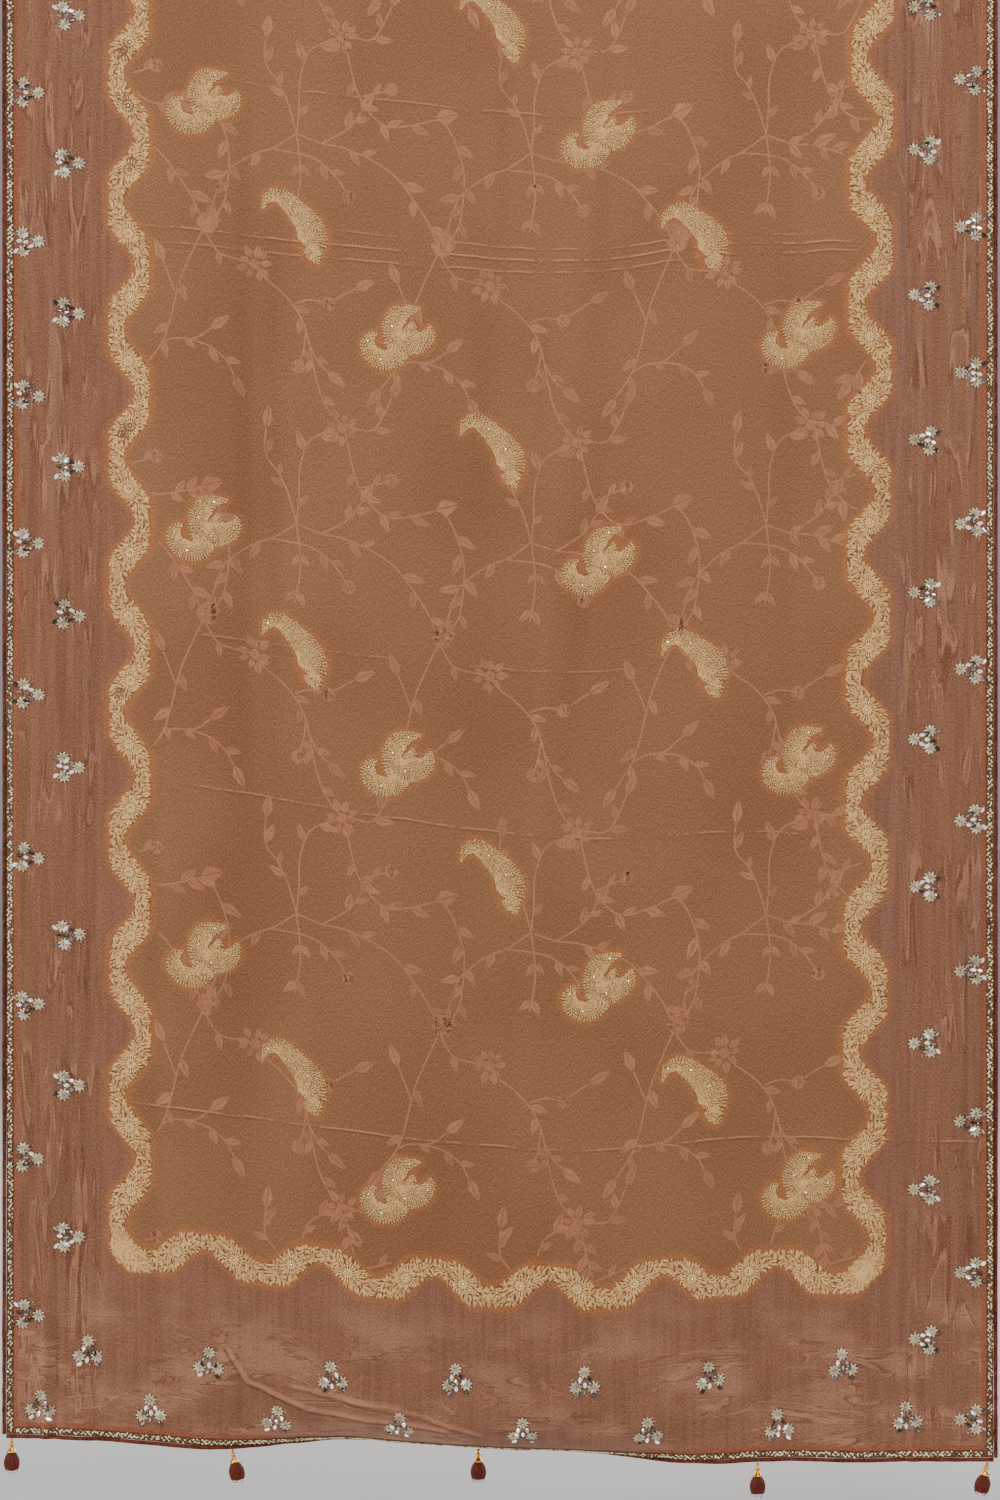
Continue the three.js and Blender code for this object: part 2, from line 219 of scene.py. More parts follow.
# The saree is one length of soft silk, 5.5 by 1.14 m, with nothing sewn to shape. It goes up the
# front, over the rod, down the back, round a turn and up again inside. Here is its lie, as a
# function of u, the way across from the middle, and s, the way along from the hem, in metres.
BINDING_RADIUS = 0.0023
SEAM_GAP = 0.0003
CLOTH_WALL = 0.0014
LAYER_GAP = 0.0008
SAREE_LENGTH = 5.5
SAREE_WIDTH = 1.14
CLOTH_HALF = SAREE_WIDTH / 2 - 2 * BINDING_RADIUS - SEAM_GAP
rod_low, rod_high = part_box("rod")
ROD_RADIUS = (rod_high[2] - rod_low[2]) / 2
FRONT_DROP = 1.950
BACK_DROP = 1.600
TURN_RADIUS = 0.005
INNER_RADIUS = ROD_RADIUS + SEAM_GAP + CLOTH_WALL / 2
OUTER_RADIUS = INNER_RADIUS + CLOTH_WALL + LAYER_GAP
BACK_STRAIGHT = BACK_DROP - TURN_RADIUS
AT_BACK_ROD = FRONT_DROP + math.pi * OUTER_RADIUS
AT_TURN = AT_BACK_ROD + BACK_STRAIGHT
AT_INNER = AT_TURN + math.pi * TURN_RADIUS
AT_INNER_ROD = AT_INNER + BACK_STRAIGHT
AT_TUCK = AT_INNER_ROD + math.pi * INNER_RADIUS
AT_ROD_TOP = (FRONT_DROP + AT_BACK_ROD) / 2
AT_TURN_BOTTOM = (AT_TURN + AT_INNER) / 2

# The weave sags in the middle, and the hem rolls backwards there.
BOW = {"sag": 0.021, "centre": 0.080, "left": (0.048, 0.650), "right": (0.021, 0.230)}
ROLL_LENGTH = 0.075
ROLL_ANGLE = math.radians(80)
ROLL_START, ROLL_FULL, ROLL_LAST, ROLL_END = -0.400, -0.140, 0.070, 0.310

# The broad upright folds: where across, half their width, their depth away from the viewer, the
# height of that place, their lean, and how far below the rod they are full and run out.
FRONT_FOLDS = (
    (-0.458, 0.062, 0.0060, -1.550, 0.01, 0.380, 1.990),
    (-0.345, 0.070, -0.0045, -1.200, -0.02, 0.300, 2.200),
    (-0.262, 0.066, 0.0065, -1.000, 0.02, 0.420, 1.720),
    (-0.120, 0.090, -0.0050, -1.000, 0.01, 0.300, 2.200),
    (0.018, 0.072, 0.0075, -0.900, 0.05, 0.260, 1.800),
    (0.112, 0.056, 0.0055, -0.900, 0.09, 0.520, 1.500),
    (0.220, 0.080, -0.0055, -1.000, 0.0, 0.300, 2.200),
    (0.336, 0.070, 0.0075, -1.000, -0.01, 0.240, 1.850),
    (0.405, 0.050, -0.0035, -1.000, 0.0, 0.300, 2.200),
    (0.476, 0.052, 0.0060, -1.000, 0.01, 0.260, 1.900),
)
BACK_FOLDS = (
    (-0.430, 0.080, 0.0050, -0.900, 0.02, 0.260, 2.000),
    (-0.250, 0.095, -0.0050, -0.900, -0.03, 0.300, 2.000),
    (-0.070, 0.085, 0.0055, -0.900, 0.02, 0.220, 2.000),
    (0.120, 0.090, -0.0045, -0.900, 0.03, 0.320, 2.000),
    (0.300, 0.080, 0.0055, -0.900, -0.02, 0.260, 2.000),
    (0.455, 0.065, -0.0040, -0.900, 0.0, 0.300, 2.000),
)
FOLD_EASE = 0.260

# Narrower folds that only this finer cloth shows, in the same columns.
FINE_FOLDS = (
    (0.010, 0.020, 0.0030, -0.450, 0.03, 0.300, 0.900),
    (-0.016, 0.022, 0.0030, -0.640, -0.02, 0.500, 1.000),
    (0.030, 0.016, 0.0024, -1.250, 0.05, 0.700, 1.750),
    (0.120, 0.017, 0.0022, -0.650, 0.03, 0.350, 0.800),
    (0.092, 0.014, 0.0022, -1.050, 0.12, 0.800, 1.300),
    (0.335, 0.022, 0.0034, -0.850, 0.0, 0.450, 1.350),
    (0.344, 0.012, 0.0022, -0.350, 0.0, 0.250, 0.800),
    (-0.286, 0.018, 0.0024, -0.800, 0.0, 0.500, 1.300),
    (-0.250, 0.014, 0.0018, -0.850, 0.0, 0.650, 1.250),
    (0.470, 0.013, 0.0024, -0.700, 0.0, 0.200, 1.350),
    (0.055, 0.014, 0.0020, -1.800, 0.02, 1.700, 2.050),
    (0.118, 0.012, 0.0018, -1.830, -0.02, 1.780, 2.050),
    (-0.392, 0.020, 0.0022, -1.600, 0.0, 1.200, 1.900),
)

# The creases left by storing the saree folded, as their height above the hem in the middle, their
# slope, the height of the ridge, and where across they start and end.
CREASES = (
    (0.375, -0.025, 0.0012, -0.44, 0.57),
    (0.735, -0.060, 0.0011, -0.39, 0.40),
    (0.922, -0.020, 0.0008, -0.39, 0.16),
    (1.378, 0.010, 0.0010, -0.42, 0.45),
    (1.392, 0.000, 0.0016, -0.43, 0.43),
    (1.406, -0.012, 0.0009, -0.20, 0.38),
    (1.560, -0.020, 0.0009, -0.32, 0.20),
    (2.350, 0.015, 0.0012, -0.50, 0.50),
    (2.880, -0.010, 0.0012, -0.45, 0.53),
    (3.340, 0.012, 0.0010, -0.50, 0.42),
)
CREASE_HALF = 0.011


def smooth(low, high, value):
    share = np.clip((value - low) / (high - low), 0, 1)
    return share * share * (3 - 2 * share)


def bow(u):
    left = BOW["left"][0] * smooth(0, BOW["left"][1], BOW["centre"] - u)
    right = BOW["right"][0] * smooth(0, BOW["right"][1], u - BOW["centre"])
    return left + right - BOW["sag"]


def hem_roll(u):
    return ROLL_ANGLE * smooth(ROLL_START, ROLL_FULL, u) * (1 - smooth(ROLL_LAST, ROLL_END, u))


def fold_depth(folds, u, drop):
    depth = np.zeros_like(u)
    for x, half, deep, at, lean, top, foot in folds:
        away = np.clip(np.abs(u - x - lean * (-drop - at)) / half, 0, 1)
        across = (1 + np.cos(np.pi * away)) / 2
        ease = min(FOLD_EASE, (foot - top) / 2)
        fade = smooth(top - ease, top, drop) * (1 - smooth(foot - ease, foot, drop))
        depth += deep * across * fade
    return depth


def crease_height(u, v):
    height = np.zeros_like(u)
    for at, slope, high, start, end in CREASES:
        wander = 0.0025 * np.sin(23 * u + 40 * at) + 0.0015 * np.sin(61 * u + 90 * at)
        away = np.clip(np.abs(v - at - slope * u - wander) / CREASE_HALF, 0, 1)
        ends = smooth(start, start + 0.08, u) * (1 - smooth(end - 0.08, end, u))
        uneven = 0.65 + 0.35 * np.sin(17 * u + 55 * at)
        height += high * (1 - away) ** 1.5 * ends * uneven
    return height


def crumple(u, v, across, along, seed):
    """Uneven ripples, about 1 high, with waves of the given widths across and along."""
    draw = np.random.default_rng(seed)
    total = np.zeros_like(u)
    for _ in range(9):
        turns_across = draw.uniform(0.6, 1.5) / across
        turns_along = draw.uniform(-1.2, 1.2) / along
        start = draw.uniform(0, 2 * np.pi)
        total += np.sin(2 * np.pi * (turns_across * u + turns_along * v) + start)
    return total / 3


# The mirror-work flowers pucker the cloth: across, and above the hem. Each side has an inner and
# an outer column, 0.17 m apart, and two rows run along the hem.
LEFT_INNER = (0.252, 0.426, 0.598, 0.790, 0.965, 1.134, 1.311, 1.482, 1.651, 1.824)
LEFT_OUTER = (0.164, 0.343, 0.518, 0.687, 0.874, 1.047, 1.216, 1.392, 1.563, 1.736)
RIGHT_INNER = (0.134, 0.306, 0.474, 0.653, 0.822, 0.990, 1.165, 1.331, 1.498, 1.663, 1.835)
RIGHT_OUTER = (0.043, 0.212, 0.384, 0.558, 0.730, 0.902, 1.070, 1.242, 1.409, 1.577, 1.750)
HEM_UPPER = (
    (-0.472, 0.121), (-0.333, 0.109), (-0.192, 0.092), (-0.050, 0.089), (0.097, 0.086),
    (0.240, 0.093), (0.392, 0.106),
)
HEM_LOWER = (
    (-0.526, 0.060), (-0.400, 0.054), (-0.256, 0.041), (-0.116, 0.034), (0.026, 0.026),
    (0.170, 0.027), (0.319, 0.037), (0.466, 0.046),
)
BACK_STEP = 0.172
flowers = []
for column, heights, turn in (
    (-0.494, LEFT_INNER, -90), (-0.540, LEFT_OUTER, -90),
    (0.487, RIGHT_INNER, 90), (0.539, RIGHT_OUTER, 90),
):
    going_on = np.arange(heights[-1] + BACK_STEP, AT_TURN - 0.03, BACK_STEP)
    flowers += [(column, height, turn) for height in (*heights, *going_on)]
flowers += [(across, height, 0) for across, height in HEM_UPPER + HEM_LOWER]
flower_u, flower_s, flower_turn = (np.array(part, dtype=float) for part in zip(*flowers))
flower_v = flower_s - bow(flower_u)
PUCKER_DEPTH = 0.0011


# Slanting wrinkles, most of them near the hem: where each starts and ends, across and along, and
# its height. Then the upright tucks in the side borders, by their place across.
WRINKLE_HALF = 0.0075
WRINKLES = (
    (-0.314, 0.116, -0.291, 0.079, 0.0036), (-0.291, 0.079, -0.223, 0.053, 0.0044),
    (-0.223, 0.053, -0.057, 0.041, 0.0042), (-0.240, 0.078, -0.091, 0.058, 0.0034),
    (-0.091, 0.058, -0.020, 0.036, 0.0034), (-0.180, 0.070, -0.110, 0.066, 0.0026),
    (0.052, 0.172, 0.054, 0.110, 0.0022), (0.112, 0.120, 0.135, 0.060, 0.0020),
    (0.280, 0.135, 0.296, 0.075, 0.0020), (0.150, 0.075, 0.260, 0.052, 0.0022),
    (0.360, 0.050, 0.440, 0.070, 0.0020), (-0.440, 0.150, -0.380, 0.080, 0.0020),
    (-0.530, 0.110, -0.470, 0.050, 0.0020), (0.455, 0.330, 0.535, 0.290, 0.0016),
    (-0.545, 1.610, -0.470, 1.560, 0.0018), (-0.545, 1.330, -0.455, 1.370, 0.0016),
    (0.455, 1.250, 0.545, 1.290, 0.0016), (0.455, 0.820, 0.540, 0.865, 0.0016),
    (-0.540, 0.700, -0.460, 0.730, 0.0014),
)
PAINTED_WRINKLES = WRINKLES[:6]
BORDER_TUCKS = (0.500, 0.524, -0.520, -0.548)
TUCK_HALF = 0.0065
TUCK_HIGH = 0.0022
# The threads of the drops hold the hem still where they hang from it.
joints = {joint["child"]: joint for joint in frame["record"]["behaviour"]["joints"]}
DROP_PLACES = [joints[f"drop_{number}"]["pos_m"] for number in (1, 2, 3, 4, 5)]
HELD_ACROSS = 0.022
HELD_ABOVE = 0.030


def loose(u, v):
    """How freely the cloth lies: 0 where a drop hangs, 1 away from it."""
    free = np.ones_like(u)
    for x, _, _ in DROP_PLACES:
        beside = np.exp(-((u - x) / HELD_ACROSS) ** 4)
        free = free * (1 - beside * (1 - smooth(0.004, HELD_ABOVE, v)))
    return free


def fine_relief(u, v, drop):
    """What stands proud of the plain folds: ripples in the borders, crumples and puckers."""
    side = smooth(0.440, 0.475, np.abs(u))
    low = 1 - smooth(0.120, 0.200, v)
    hang = smooth(0.02, 0.20, drop)
    relief = side * 0.0014 * crumple(u, v, 0.024, 0.60, 3)
    for tuck in BORDER_TUCKS:
        wander = 0.006 * np.sin(9 * v + 50 * tuck) + 0.002 * np.sin(47 * v)
        away = np.abs(u - tuck - wander) / TUCK_HALF
        relief += TUCK_HIGH * np.clip(1 - away, 0, 1) * (0.55 + 0.45 * np.sin(5.3 * v + 70 * tuck))
    for from_u, from_v, to_u, to_v, high in WRINKLES:
        run = np.hypot(to_u - from_u, to_v - from_v)
        along = ((u - from_u) * (to_u - from_u) + (v - from_v) * (to_v - from_v)) / run**2
        nearest = np.clip(along, 0, 1)
        away = np.hypot(u - from_u - nearest * (to_u - from_u), v - from_v - nearest * (to_v - from_v))
        uneven = 0.75 + 0.25 * np.sin(21 * along * run / 0.1)
        relief += high * np.clip(1 - away / WRINKLE_HALF, 0, 1) * uneven
    relief += side * 0.0007 * crumple(u, v, 0.060, 0.16, 5)
    relief += low * (1 - 0.5 * side) * 0.0020 * crumple(u, v, 0.120, 0.060, 11)
    relief += low * 0.0009 * crumple(u, v, 0.070, 0.026, 13)
    relief += (1 - side) * 0.0006 * crumple(u, v, 0.085, 0.400, 7)
    for x, y in zip(flower_u, flower_v):
        near = np.hypot(u - x, v - y)
        turn = np.arctan2(v - y, u - x)
        ring = np.exp(-((near - 0.024) / 0.010) ** 2)
        relief += PUCKER_DEPTH * 0.5 * ring * np.cos(7 * turn + 40 * y)
        relief -= PUCKER_DEPTH * np.exp(-(near / 0.014) ** 2)
    return relief * hang


def front_lie(u, s):
    v = s - bow(u)
    drop = FRONT_DROP - s
    folded = -OUTER_RADIUS + fold_depth(FRONT_FOLDS, u, drop) - crease_height(u, v)
    folded += (fold_depth(FINE_FOLDS, u, drop) - fine_relief(u, v, drop)) * loose(u, v)
    height = -drop
    roll = np.maximum(hem_roll(u), 1e-4)
    radius = ROLL_LENGTH / roll
    turned = roll * np.clip(1 - v / ROLL_LENGTH, 0, 1)
    rolled_y = folded + radius * (1 - np.cos(turned))
    rolled_z = -FRONT_DROP + bow(u) + ROLL_LENGTH - radius * np.sin(turned)
    in_roll = v < ROLL_LENGTH
    angle = (s - FRONT_DROP) / OUTER_RADIUS
    over = s > FRONT_DROP
    y = np.where(over, -OUTER_RADIUS * np.cos(angle), np.where(in_roll, rolled_y, folded))
    z = np.where(over, OUTER_RADIUS * np.sin(angle), np.where(in_roll, rolled_z, height))
    return np.stack([u, y, z], axis=-1)


def back_lie(u, s):
    drop = np.clip(s - AT_BACK_ROD, 0, BACK_STRAIGHT)
    folded = OUTER_RADIUS - fold_depth(BACK_FOLDS, u, drop)
    v = s - bow(u)
    rough = fine_relief(u, v, drop) * smooth(BACK_STRAIGHT, BACK_STRAIGHT - 0.1, drop)
    down_y = folded + crease_height(u, v) + rough
    over_angle = (s - FRONT_DROP) / OUTER_RADIUS
    turn_angle = (s - AT_TURN) / TURN_RADIUS
    over = s < AT_BACK_ROD
    turning = s > AT_TURN
    turn_y = folded - TURN_RADIUS + TURN_RADIUS * np.cos(turn_angle)
    turn_z = -BACK_STRAIGHT - TURN_RADIUS * np.sin(turn_angle)
    y = np.where(over, -OUTER_RADIUS * np.cos(over_angle), np.where(turning, turn_y, down_y))
    z = np.where(over, OUTER_RADIUS * np.sin(over_angle), np.where(turning, turn_z, -drop))
    return np.stack([u, y, z], axis=-1)


def inner_lie(u, s):
    rising = (s >= AT_INNER) & (s < AT_INNER_ROD)
    tucked = s > AT_TUCK
    drop = np.where(tucked, s - AT_TUCK, np.clip(AT_INNER_ROD - s, 0, BACK_STRAIGHT))
    back_fold = fold_depth(BACK_FOLDS, u, drop)
    turn_width = 2 * TURN_RADIUS - CLOTH_WALL - LAYER_GAP
    open_by = turn_width * smooth(BACK_DROP - 0.32, BACK_STRAIGHT, drop)
    turn_angle = (s - AT_TURN) / TURN_RADIUS
    over_angle = (s - AT_INNER_ROD) / INNER_RADIUS
    y = INNER_RADIUS - back_fold - open_by
    z = -drop
    turning = s < AT_INNER
    turn_y = OUTER_RADIUS - back_fold - TURN_RADIUS + TURN_RADIUS * np.cos(turn_angle)
    y = np.where(turning, turn_y, y)
    z = np.where(turning, -BACK_STRAIGHT - TURN_RADIUS * np.sin(turn_angle), z)
    over = ~turning & ~rising & ~tucked
    y = np.where(over, INNER_RADIUS * np.cos(over_angle), y)
    z = np.where(over, INNER_RADIUS * np.sin(over_angle), z)
    y = np.where(tucked, -INNER_RADIUS + fold_depth(FRONT_FOLDS, u, drop), y)
    return np.stack([u, y, z], axis=-1)


class Cloth:
    """One stretch of cloth as a grid of points, on which all that is worked on it is laid."""

    def __init__(self, lie, across, shares, start, end):
        self.across = across
        self.shares = shares
        self.start = start
        self.end = end
        u = np.broadcast_to(across, (len(shares), len(across)))
        first = self.first(u)
        s = first + shares[:, None] * (end - first)
        self.u = u
        self.v = s - bow(u)
        self.points = lie(u, s)
        facing = np.cross(np.gradient(self.points, axis=1), np.gradient(self.points, axis=0))
        self.normals = facing / np.linalg.norm(facing, axis=-1, keepdims=True)

    def first(self, u):
        return bow(u) if self.start is None else np.full_like(u, self.start)

    def at(self, u, v, lift):
        first = self.first(u)
        share = (v + bow(u) - first) / (self.end - first)
        row = np.interp(share, self.shares, np.arange(len(self.shares)))
        column = np.interp(u, self.across, np.arange(len(self.across)))
        i = np.minimum(row.astype(int), len(self.shares) - 2)
        k = np.minimum(column.astype(int), len(self.across) - 2)
        up = (row - i)[..., None]
        over = (column - k)[..., None]
        result = []
        for grid in (self.points, self.normals):
            below = grid[i, k] * (1 - over) + grid[i, k + 1] * over
            above = grid[i + 1, k] * (1 - over) + grid[i + 1, k + 1] * over
            result.append(below * (1 - up) + above * up)
        return result[0] + result[1] * np.asarray(lift)[..., None]


SHELL = 0.0009
BORDER_AT = 0.445


def columns_across(side, middle):
    """Places across the cloth: side columns in each border, and middle ones between them."""
    border = np.linspace(BORDER_AT, CLOTH_HALF, side)
    between = np.linspace(-BORDER_AT, BORDER_AT, middle)[1:-1]
    return np.concatenate([-border[::-1], between, border])


ACROSS = columns_across(27, 119)
FRONT_SHARES = np.concatenate([
    np.linspace(0, 0.2, 46), np.linspace(0.2, FRONT_DROP, 232)[1:],
    np.linspace(FRONT_DROP, AT_ROD_TOP, 9)[1:],
]) / AT_ROD_TOP
front = Cloth(front_lie, ACROSS, FRONT_SHARES, None, AT_ROD_TOP - SEAM_GAP / 2)


def sheet_piece(name, cloth):
    """A thin shell on the cloth's grid, with its place on the cut cloth as a UV map, in metres."""
    rows, columns = cloth.u.shape
    bpy.ops.mesh.primitive_grid_add(x_subdivisions=columns - 1, y_subdivisions=rows - 1, size=1)
    piece = bpy.context.object
    piece.name = name
    mesh = piece.data
    mesh.vertices.foreach_set("co", cloth.points.reshape(-1))
    corner = np.zeros(len(mesh.loops), dtype=np.int32)
    mesh.loops.foreach_get("vertex_index", corner)
    place = np.stack([cloth.u.reshape(-1), cloth.v.reshape(-1)], axis=1)[corner]
    layer = mesh.uv_layers[0] if mesh.uv_layers else mesh.uv_layers.new()
    layer.name = "cut"
    layer.data.foreach_set("uv", place.reshape(-1).astype(np.float32))
    mesh.update()
    wall = piece.modifiers.new("wall", "SOLIDIFY")
    wall.thickness = SHELL
    wall.offset = 0
    bpy.ops.object.modifier_apply(modifier=wall.name)
    bpy.ops.object.shade_smooth()
    return piece


# The dye: a brown field inside a scalloped band, dusty rose borders outside it, and a warm,
# blurred stain along the band. Each run of the band is a strip between two limits, with a rounded
# notch cut into one side and then the other, each half a repeat after the last. Its numbers were
# measured in the photo, in metres.
BAND_LEFT = {"low": -0.4470, "high": -0.3986, "lean": -0.0016, "notch": 0.0277, "repeat": 0.1463,
             "low_cut": 0.0300, "high_cut": 0.0295, "reach": 0.050}
BAND_RIGHT = {"low": 0.3895, "high": 0.4402, "lean": 0.0068, "notch": 0.1077, "repeat": 0.1425,
              "low_cut": 0.0315, "high_cut": 0.0315, "reach": 0.048}
BAND_HEM = {"low": 0.1902, "high": 0.2407, "lean": -0.009, "notch": 0.0555, "repeat": 0.1309,
            "low_cut": 0.0315, "high_cut": 0.0265, "reach": 0.044}

FIELD = shade(150, 114, 84)
FIELD_DEEP = shade(145, 107, 78)
ROSE = shade(150, 112, 92)
ROSE_DEEP = shade(139, 102, 82)
STAIN = shade(176, 122, 80)
FACING = shade(158, 98, 72)
# Painted light, not dyes: a sheen for the border above the hem, and the highlights and shade of the
# creases, wrinkles and tucks.
ROSE_PAINTED_SHEEN = shade(178, 138, 116)
CREASE_PAINTED_HIGHLIGHT = shade(202, 146, 106)
CREASE_PAINTED_SHADE = shade(110, 66, 44)
WRINKLE_PAINTED_HIGHLIGHT = shade(196, 150, 124)
WRINKLE_PAINTED_SHADE = shade(108, 64, 46)
TUCK_PAINTED_HIGHLIGHT = shade(186, 142, 119)
TUCK_PAINTED_SHADE = shade(114, 68, 50)
THREAD_LIGHT = shade(196, 146, 108)
THREAD_DARK = shade(96, 60, 40)


def silk(name, creases, wrinkles=(), with_band=True):
    """The silk's finish: its dyes, its weave, its satin borders with painted sheen, and its sharp
    storage creases and wrinkles, with their highlights and shade painted in.
    """
    finish = Finish(name, Sheen_Weight=0.03, Sheen_Roughness=0.4, Specular_IOR_Level=0.18)
    cut = finish.add("UVMap", {"uv_map": "cut"}, {})
    u = finish.add("SeparateXYZ", {}, {"Vector": cut}, 0)
    v = finish.add("SeparateXYZ", {}, {"Vector": cut}, 1)

    def edges(band, along):
        """The two sides of a run of the band, as places across it."""
        half = band["repeat"] / 2
        past = along - band["notch"]
        to_notch = past.math("PINGPONG", past, half)
        low_cut = (1 - to_notch.rise(0, band["reach"])) * band["low_cut"]
        high_cut = to_notch.rise(half - band["reach"], half) * band["high_cut"]
        drift = along * band["lean"]
        return drift + low_cut + band["low"], drift - high_cut + band["high"]

    left_low, left_high = edges(BAND_LEFT, v)
    right_low, right_high = edges(BAND_RIGHT, v)
    hem_low, hem_high = edges(BAND_HEM, u)
    outer = (u - left_low).lowest(right_high - u).lowest(v - hem_low)
    inner = (u - left_high).lowest(right_low - u).lowest(v - hem_high)
    blur = finish.noise(170, 1) * 0.006 - 0.003

    cloudy = finish.noise(5, 1)
    streaks = finish.noise(1, 2, 0.6, finish.place((50, 5.5, 1), "cut"), 1.1)
    fine_streaks = finish.noise(1, 1, 0.6, finish.place((210, 9, 1), "cut"))
    weave = finish.noise(1, 1, 0.6, finish.place((980, 420, 1), "cut"))

    field = finish.mix(cloudy.rise(0.35, 0.7), FIELD, FIELD_DEEP)
    # Upright streaks of a deeper and a paler rose in the borders: uneven silk, and painted sheen along
    # the satin's wrinkles.
    rose = finish.mix((streaks * 0.35 + fine_streaks * 0.65).rise(0.34, 0.64), ROSE_DEEP, ROSE)
    # Paler patches on the border above the hem are painted sheen.
    patches = finish.noise(1, 2, 0.5, finish.place((9, 16, 1), "cut"))
    rose = finish.mix(patches.rise(0.42, 0.66) * (1 - v.rise(0.14, 0.21)) * 0.62, rose, ROSE_PAINTED_SHEEN)
    # Fine wrinkles run down the side borders, and lie across the border above the hem. Their shading
    # is painted: a dark shade line along each, and a highlight beside it.
    level = finish.noise(1, 2, 0.6, finish.place((9, 44, 1), "cut"), 1.3)
    sides = abs(u).rise(0.445, 0.475) * patches.rise(0.40, 0.56)
    above_hem = (1 - v.rise(0.11, 0.17)) * patches.rise(0.40, 0.54)
    tuck = ((1 - abs(streaks - 0.53).rise(0.0, 0.036)) * sides).highest(
        (1 - abs(level - 0.52).rise(0.0, 0.026)) * above_hem)
    painted_glint = ((1 - abs(streaks - 0.58).rise(0.0, 0.040)) * sides).highest(
        (1 - abs(level - 0.56).rise(0.0, 0.038)) * above_hem)
    # Painted shade along the tucks, then a painted highlight beside them.
    rose = finish.mix(tuck * 0.62, rose, TUCK_PAINTED_SHADE)
    rose = finish.mix(painted_glint * 0.62, rose, TUCK_PAINTED_HIGHLIGHT)
    in_field = ((inner + outer) * 0.5 + blur).rise(-0.004, 0.004)
    colour = finish.mix(in_field, rose, field)
    stained = (outer + blur).rise(-0.010, 0.001) * (1 - (inner + blur).rise(-0.001, 0.010))
    colour = finish.mix(stained * 0.80, colour, STAIN)
    if with_band:
        around = finish.attribute("stain") + blur * 40
        colour = finish.mix(around.rise(0.15, 0.95) * 0.70, colour, STAIN)
    edge = abs(u).rise(CLOTH_HALF - 0.0150, CLOTH_HALF - 0.0125).highest(1 - v.rise(0.0125, 0.0150))
    colour = finish.mix(edge * 0.75, colour, FACING)
    colour = finish.mix((1 - weave.rise(0.36, 0.54)) * 0.46, colour, THREAD_DARK)
    colour = finish.mix(weave.rise(0.52, 0.66) * 0.30, colour, THREAD_LIGHT)

    # Each crease is painted as a bright highlight beside a dark line of painted shade, uneven along
    # its length.
    broken = finish.noise(1, 2, 0.6, finish.place((15, 5, 1), "cut"))
    wander = broken * 0.008 - 0.004
    broken = (broken + fine_streaks * 0.35).rise(0.58, 0.74)
    bright = None
    dark = None
    for at, slope, high, start, end in creases:
        away = v - (u * slope + at) - wander
        span = u.rise(start, start + 0.06) * (1 - u.rise(end - 0.06, end))
        strong = span * min(1.0, high / 0.0013)
        light_line = (1 - abs(away).rise(0.0003, 0.0014)) * strong
        dark_line = (1 - abs(away + 0.0022).rise(0.0003, 0.0020)) * strong
        bright = light_line if bright is None else bright.highest(light_line)
        dark = dark_line if dark is None else dark.highest(dark_line)
    colour = finish.mix(bright * broken * 0.75, colour, CREASE_PAINTED_HIGHLIGHT)
    colour = finish.mix(dark * (0.35 + broken * 0.65) * 0.40, colour, CREASE_PAINTED_SHADE)

    # A slanting wrinkle is painted as a dark line of shade with a bright highlight beside it.
    for from_u, from_v, to_u, to_v, high in wrinkles:
        run = math.hypot(to_u - from_u, to_v - from_v)
        ahead_u, ahead_v = (to_u - from_u) / run, (to_v - from_v) / run
        along = (u - from_u) * ahead_u + (v - from_v) * ahead_v
        aside = (v - from_v) * ahead_u - (u - from_u) * ahead_v + wander
        span = along.rise(-0.004, 0.008) * (1 - along.rise(run - 0.008, run + 0.004))
        span = span * (high / 0.0045)
        shadow = (1 - abs(aside + 0.0018).rise(0.0003, 0.0026)) * span
        gleam = (1 - abs(aside - 0.0026).rise(0.0008, 0.0046)) * span
        colour = finish.mix(gleam * 0.50, colour, WRINKLE_PAINTED_HIGHLIGHT)
        colour = finish.mix(shadow * 0.60, colour, WRINKLE_PAINTED_SHADE)
    finish.set("Base Color", colour)

    finish.set("Roughness", 0.62 - (1 - in_field) * 0.17)
    satin = abs(u).rise(0.400, 0.430).highest(1 - v.rise(0.195, 0.225))
    finish.bump(weave * 0.00006 + streaks * (satin * 0.0008 + 0.0002), 1.0, 0.8)
    return finish.material


front_piece = sheet_piece("pallu_cloth", front)


# The woven motifs lie on a lattice: a double crescent paisley and a feathered leaf, each in its
# own columns, as the place across and the height of the lowest one, with one repeat along. Their
# outlines follow the photo.
PAISLEY_COLUMNS = ((-0.340, 0.562), (-0.118, 0.316), (0.112, 0.558), (0.341, 0.310))
FEATHER_COLUMNS = ((-0.232, 0.436), (-0.005, 0.686), (0.226, 0.430))
MOTIF_REPEAT = 0.488
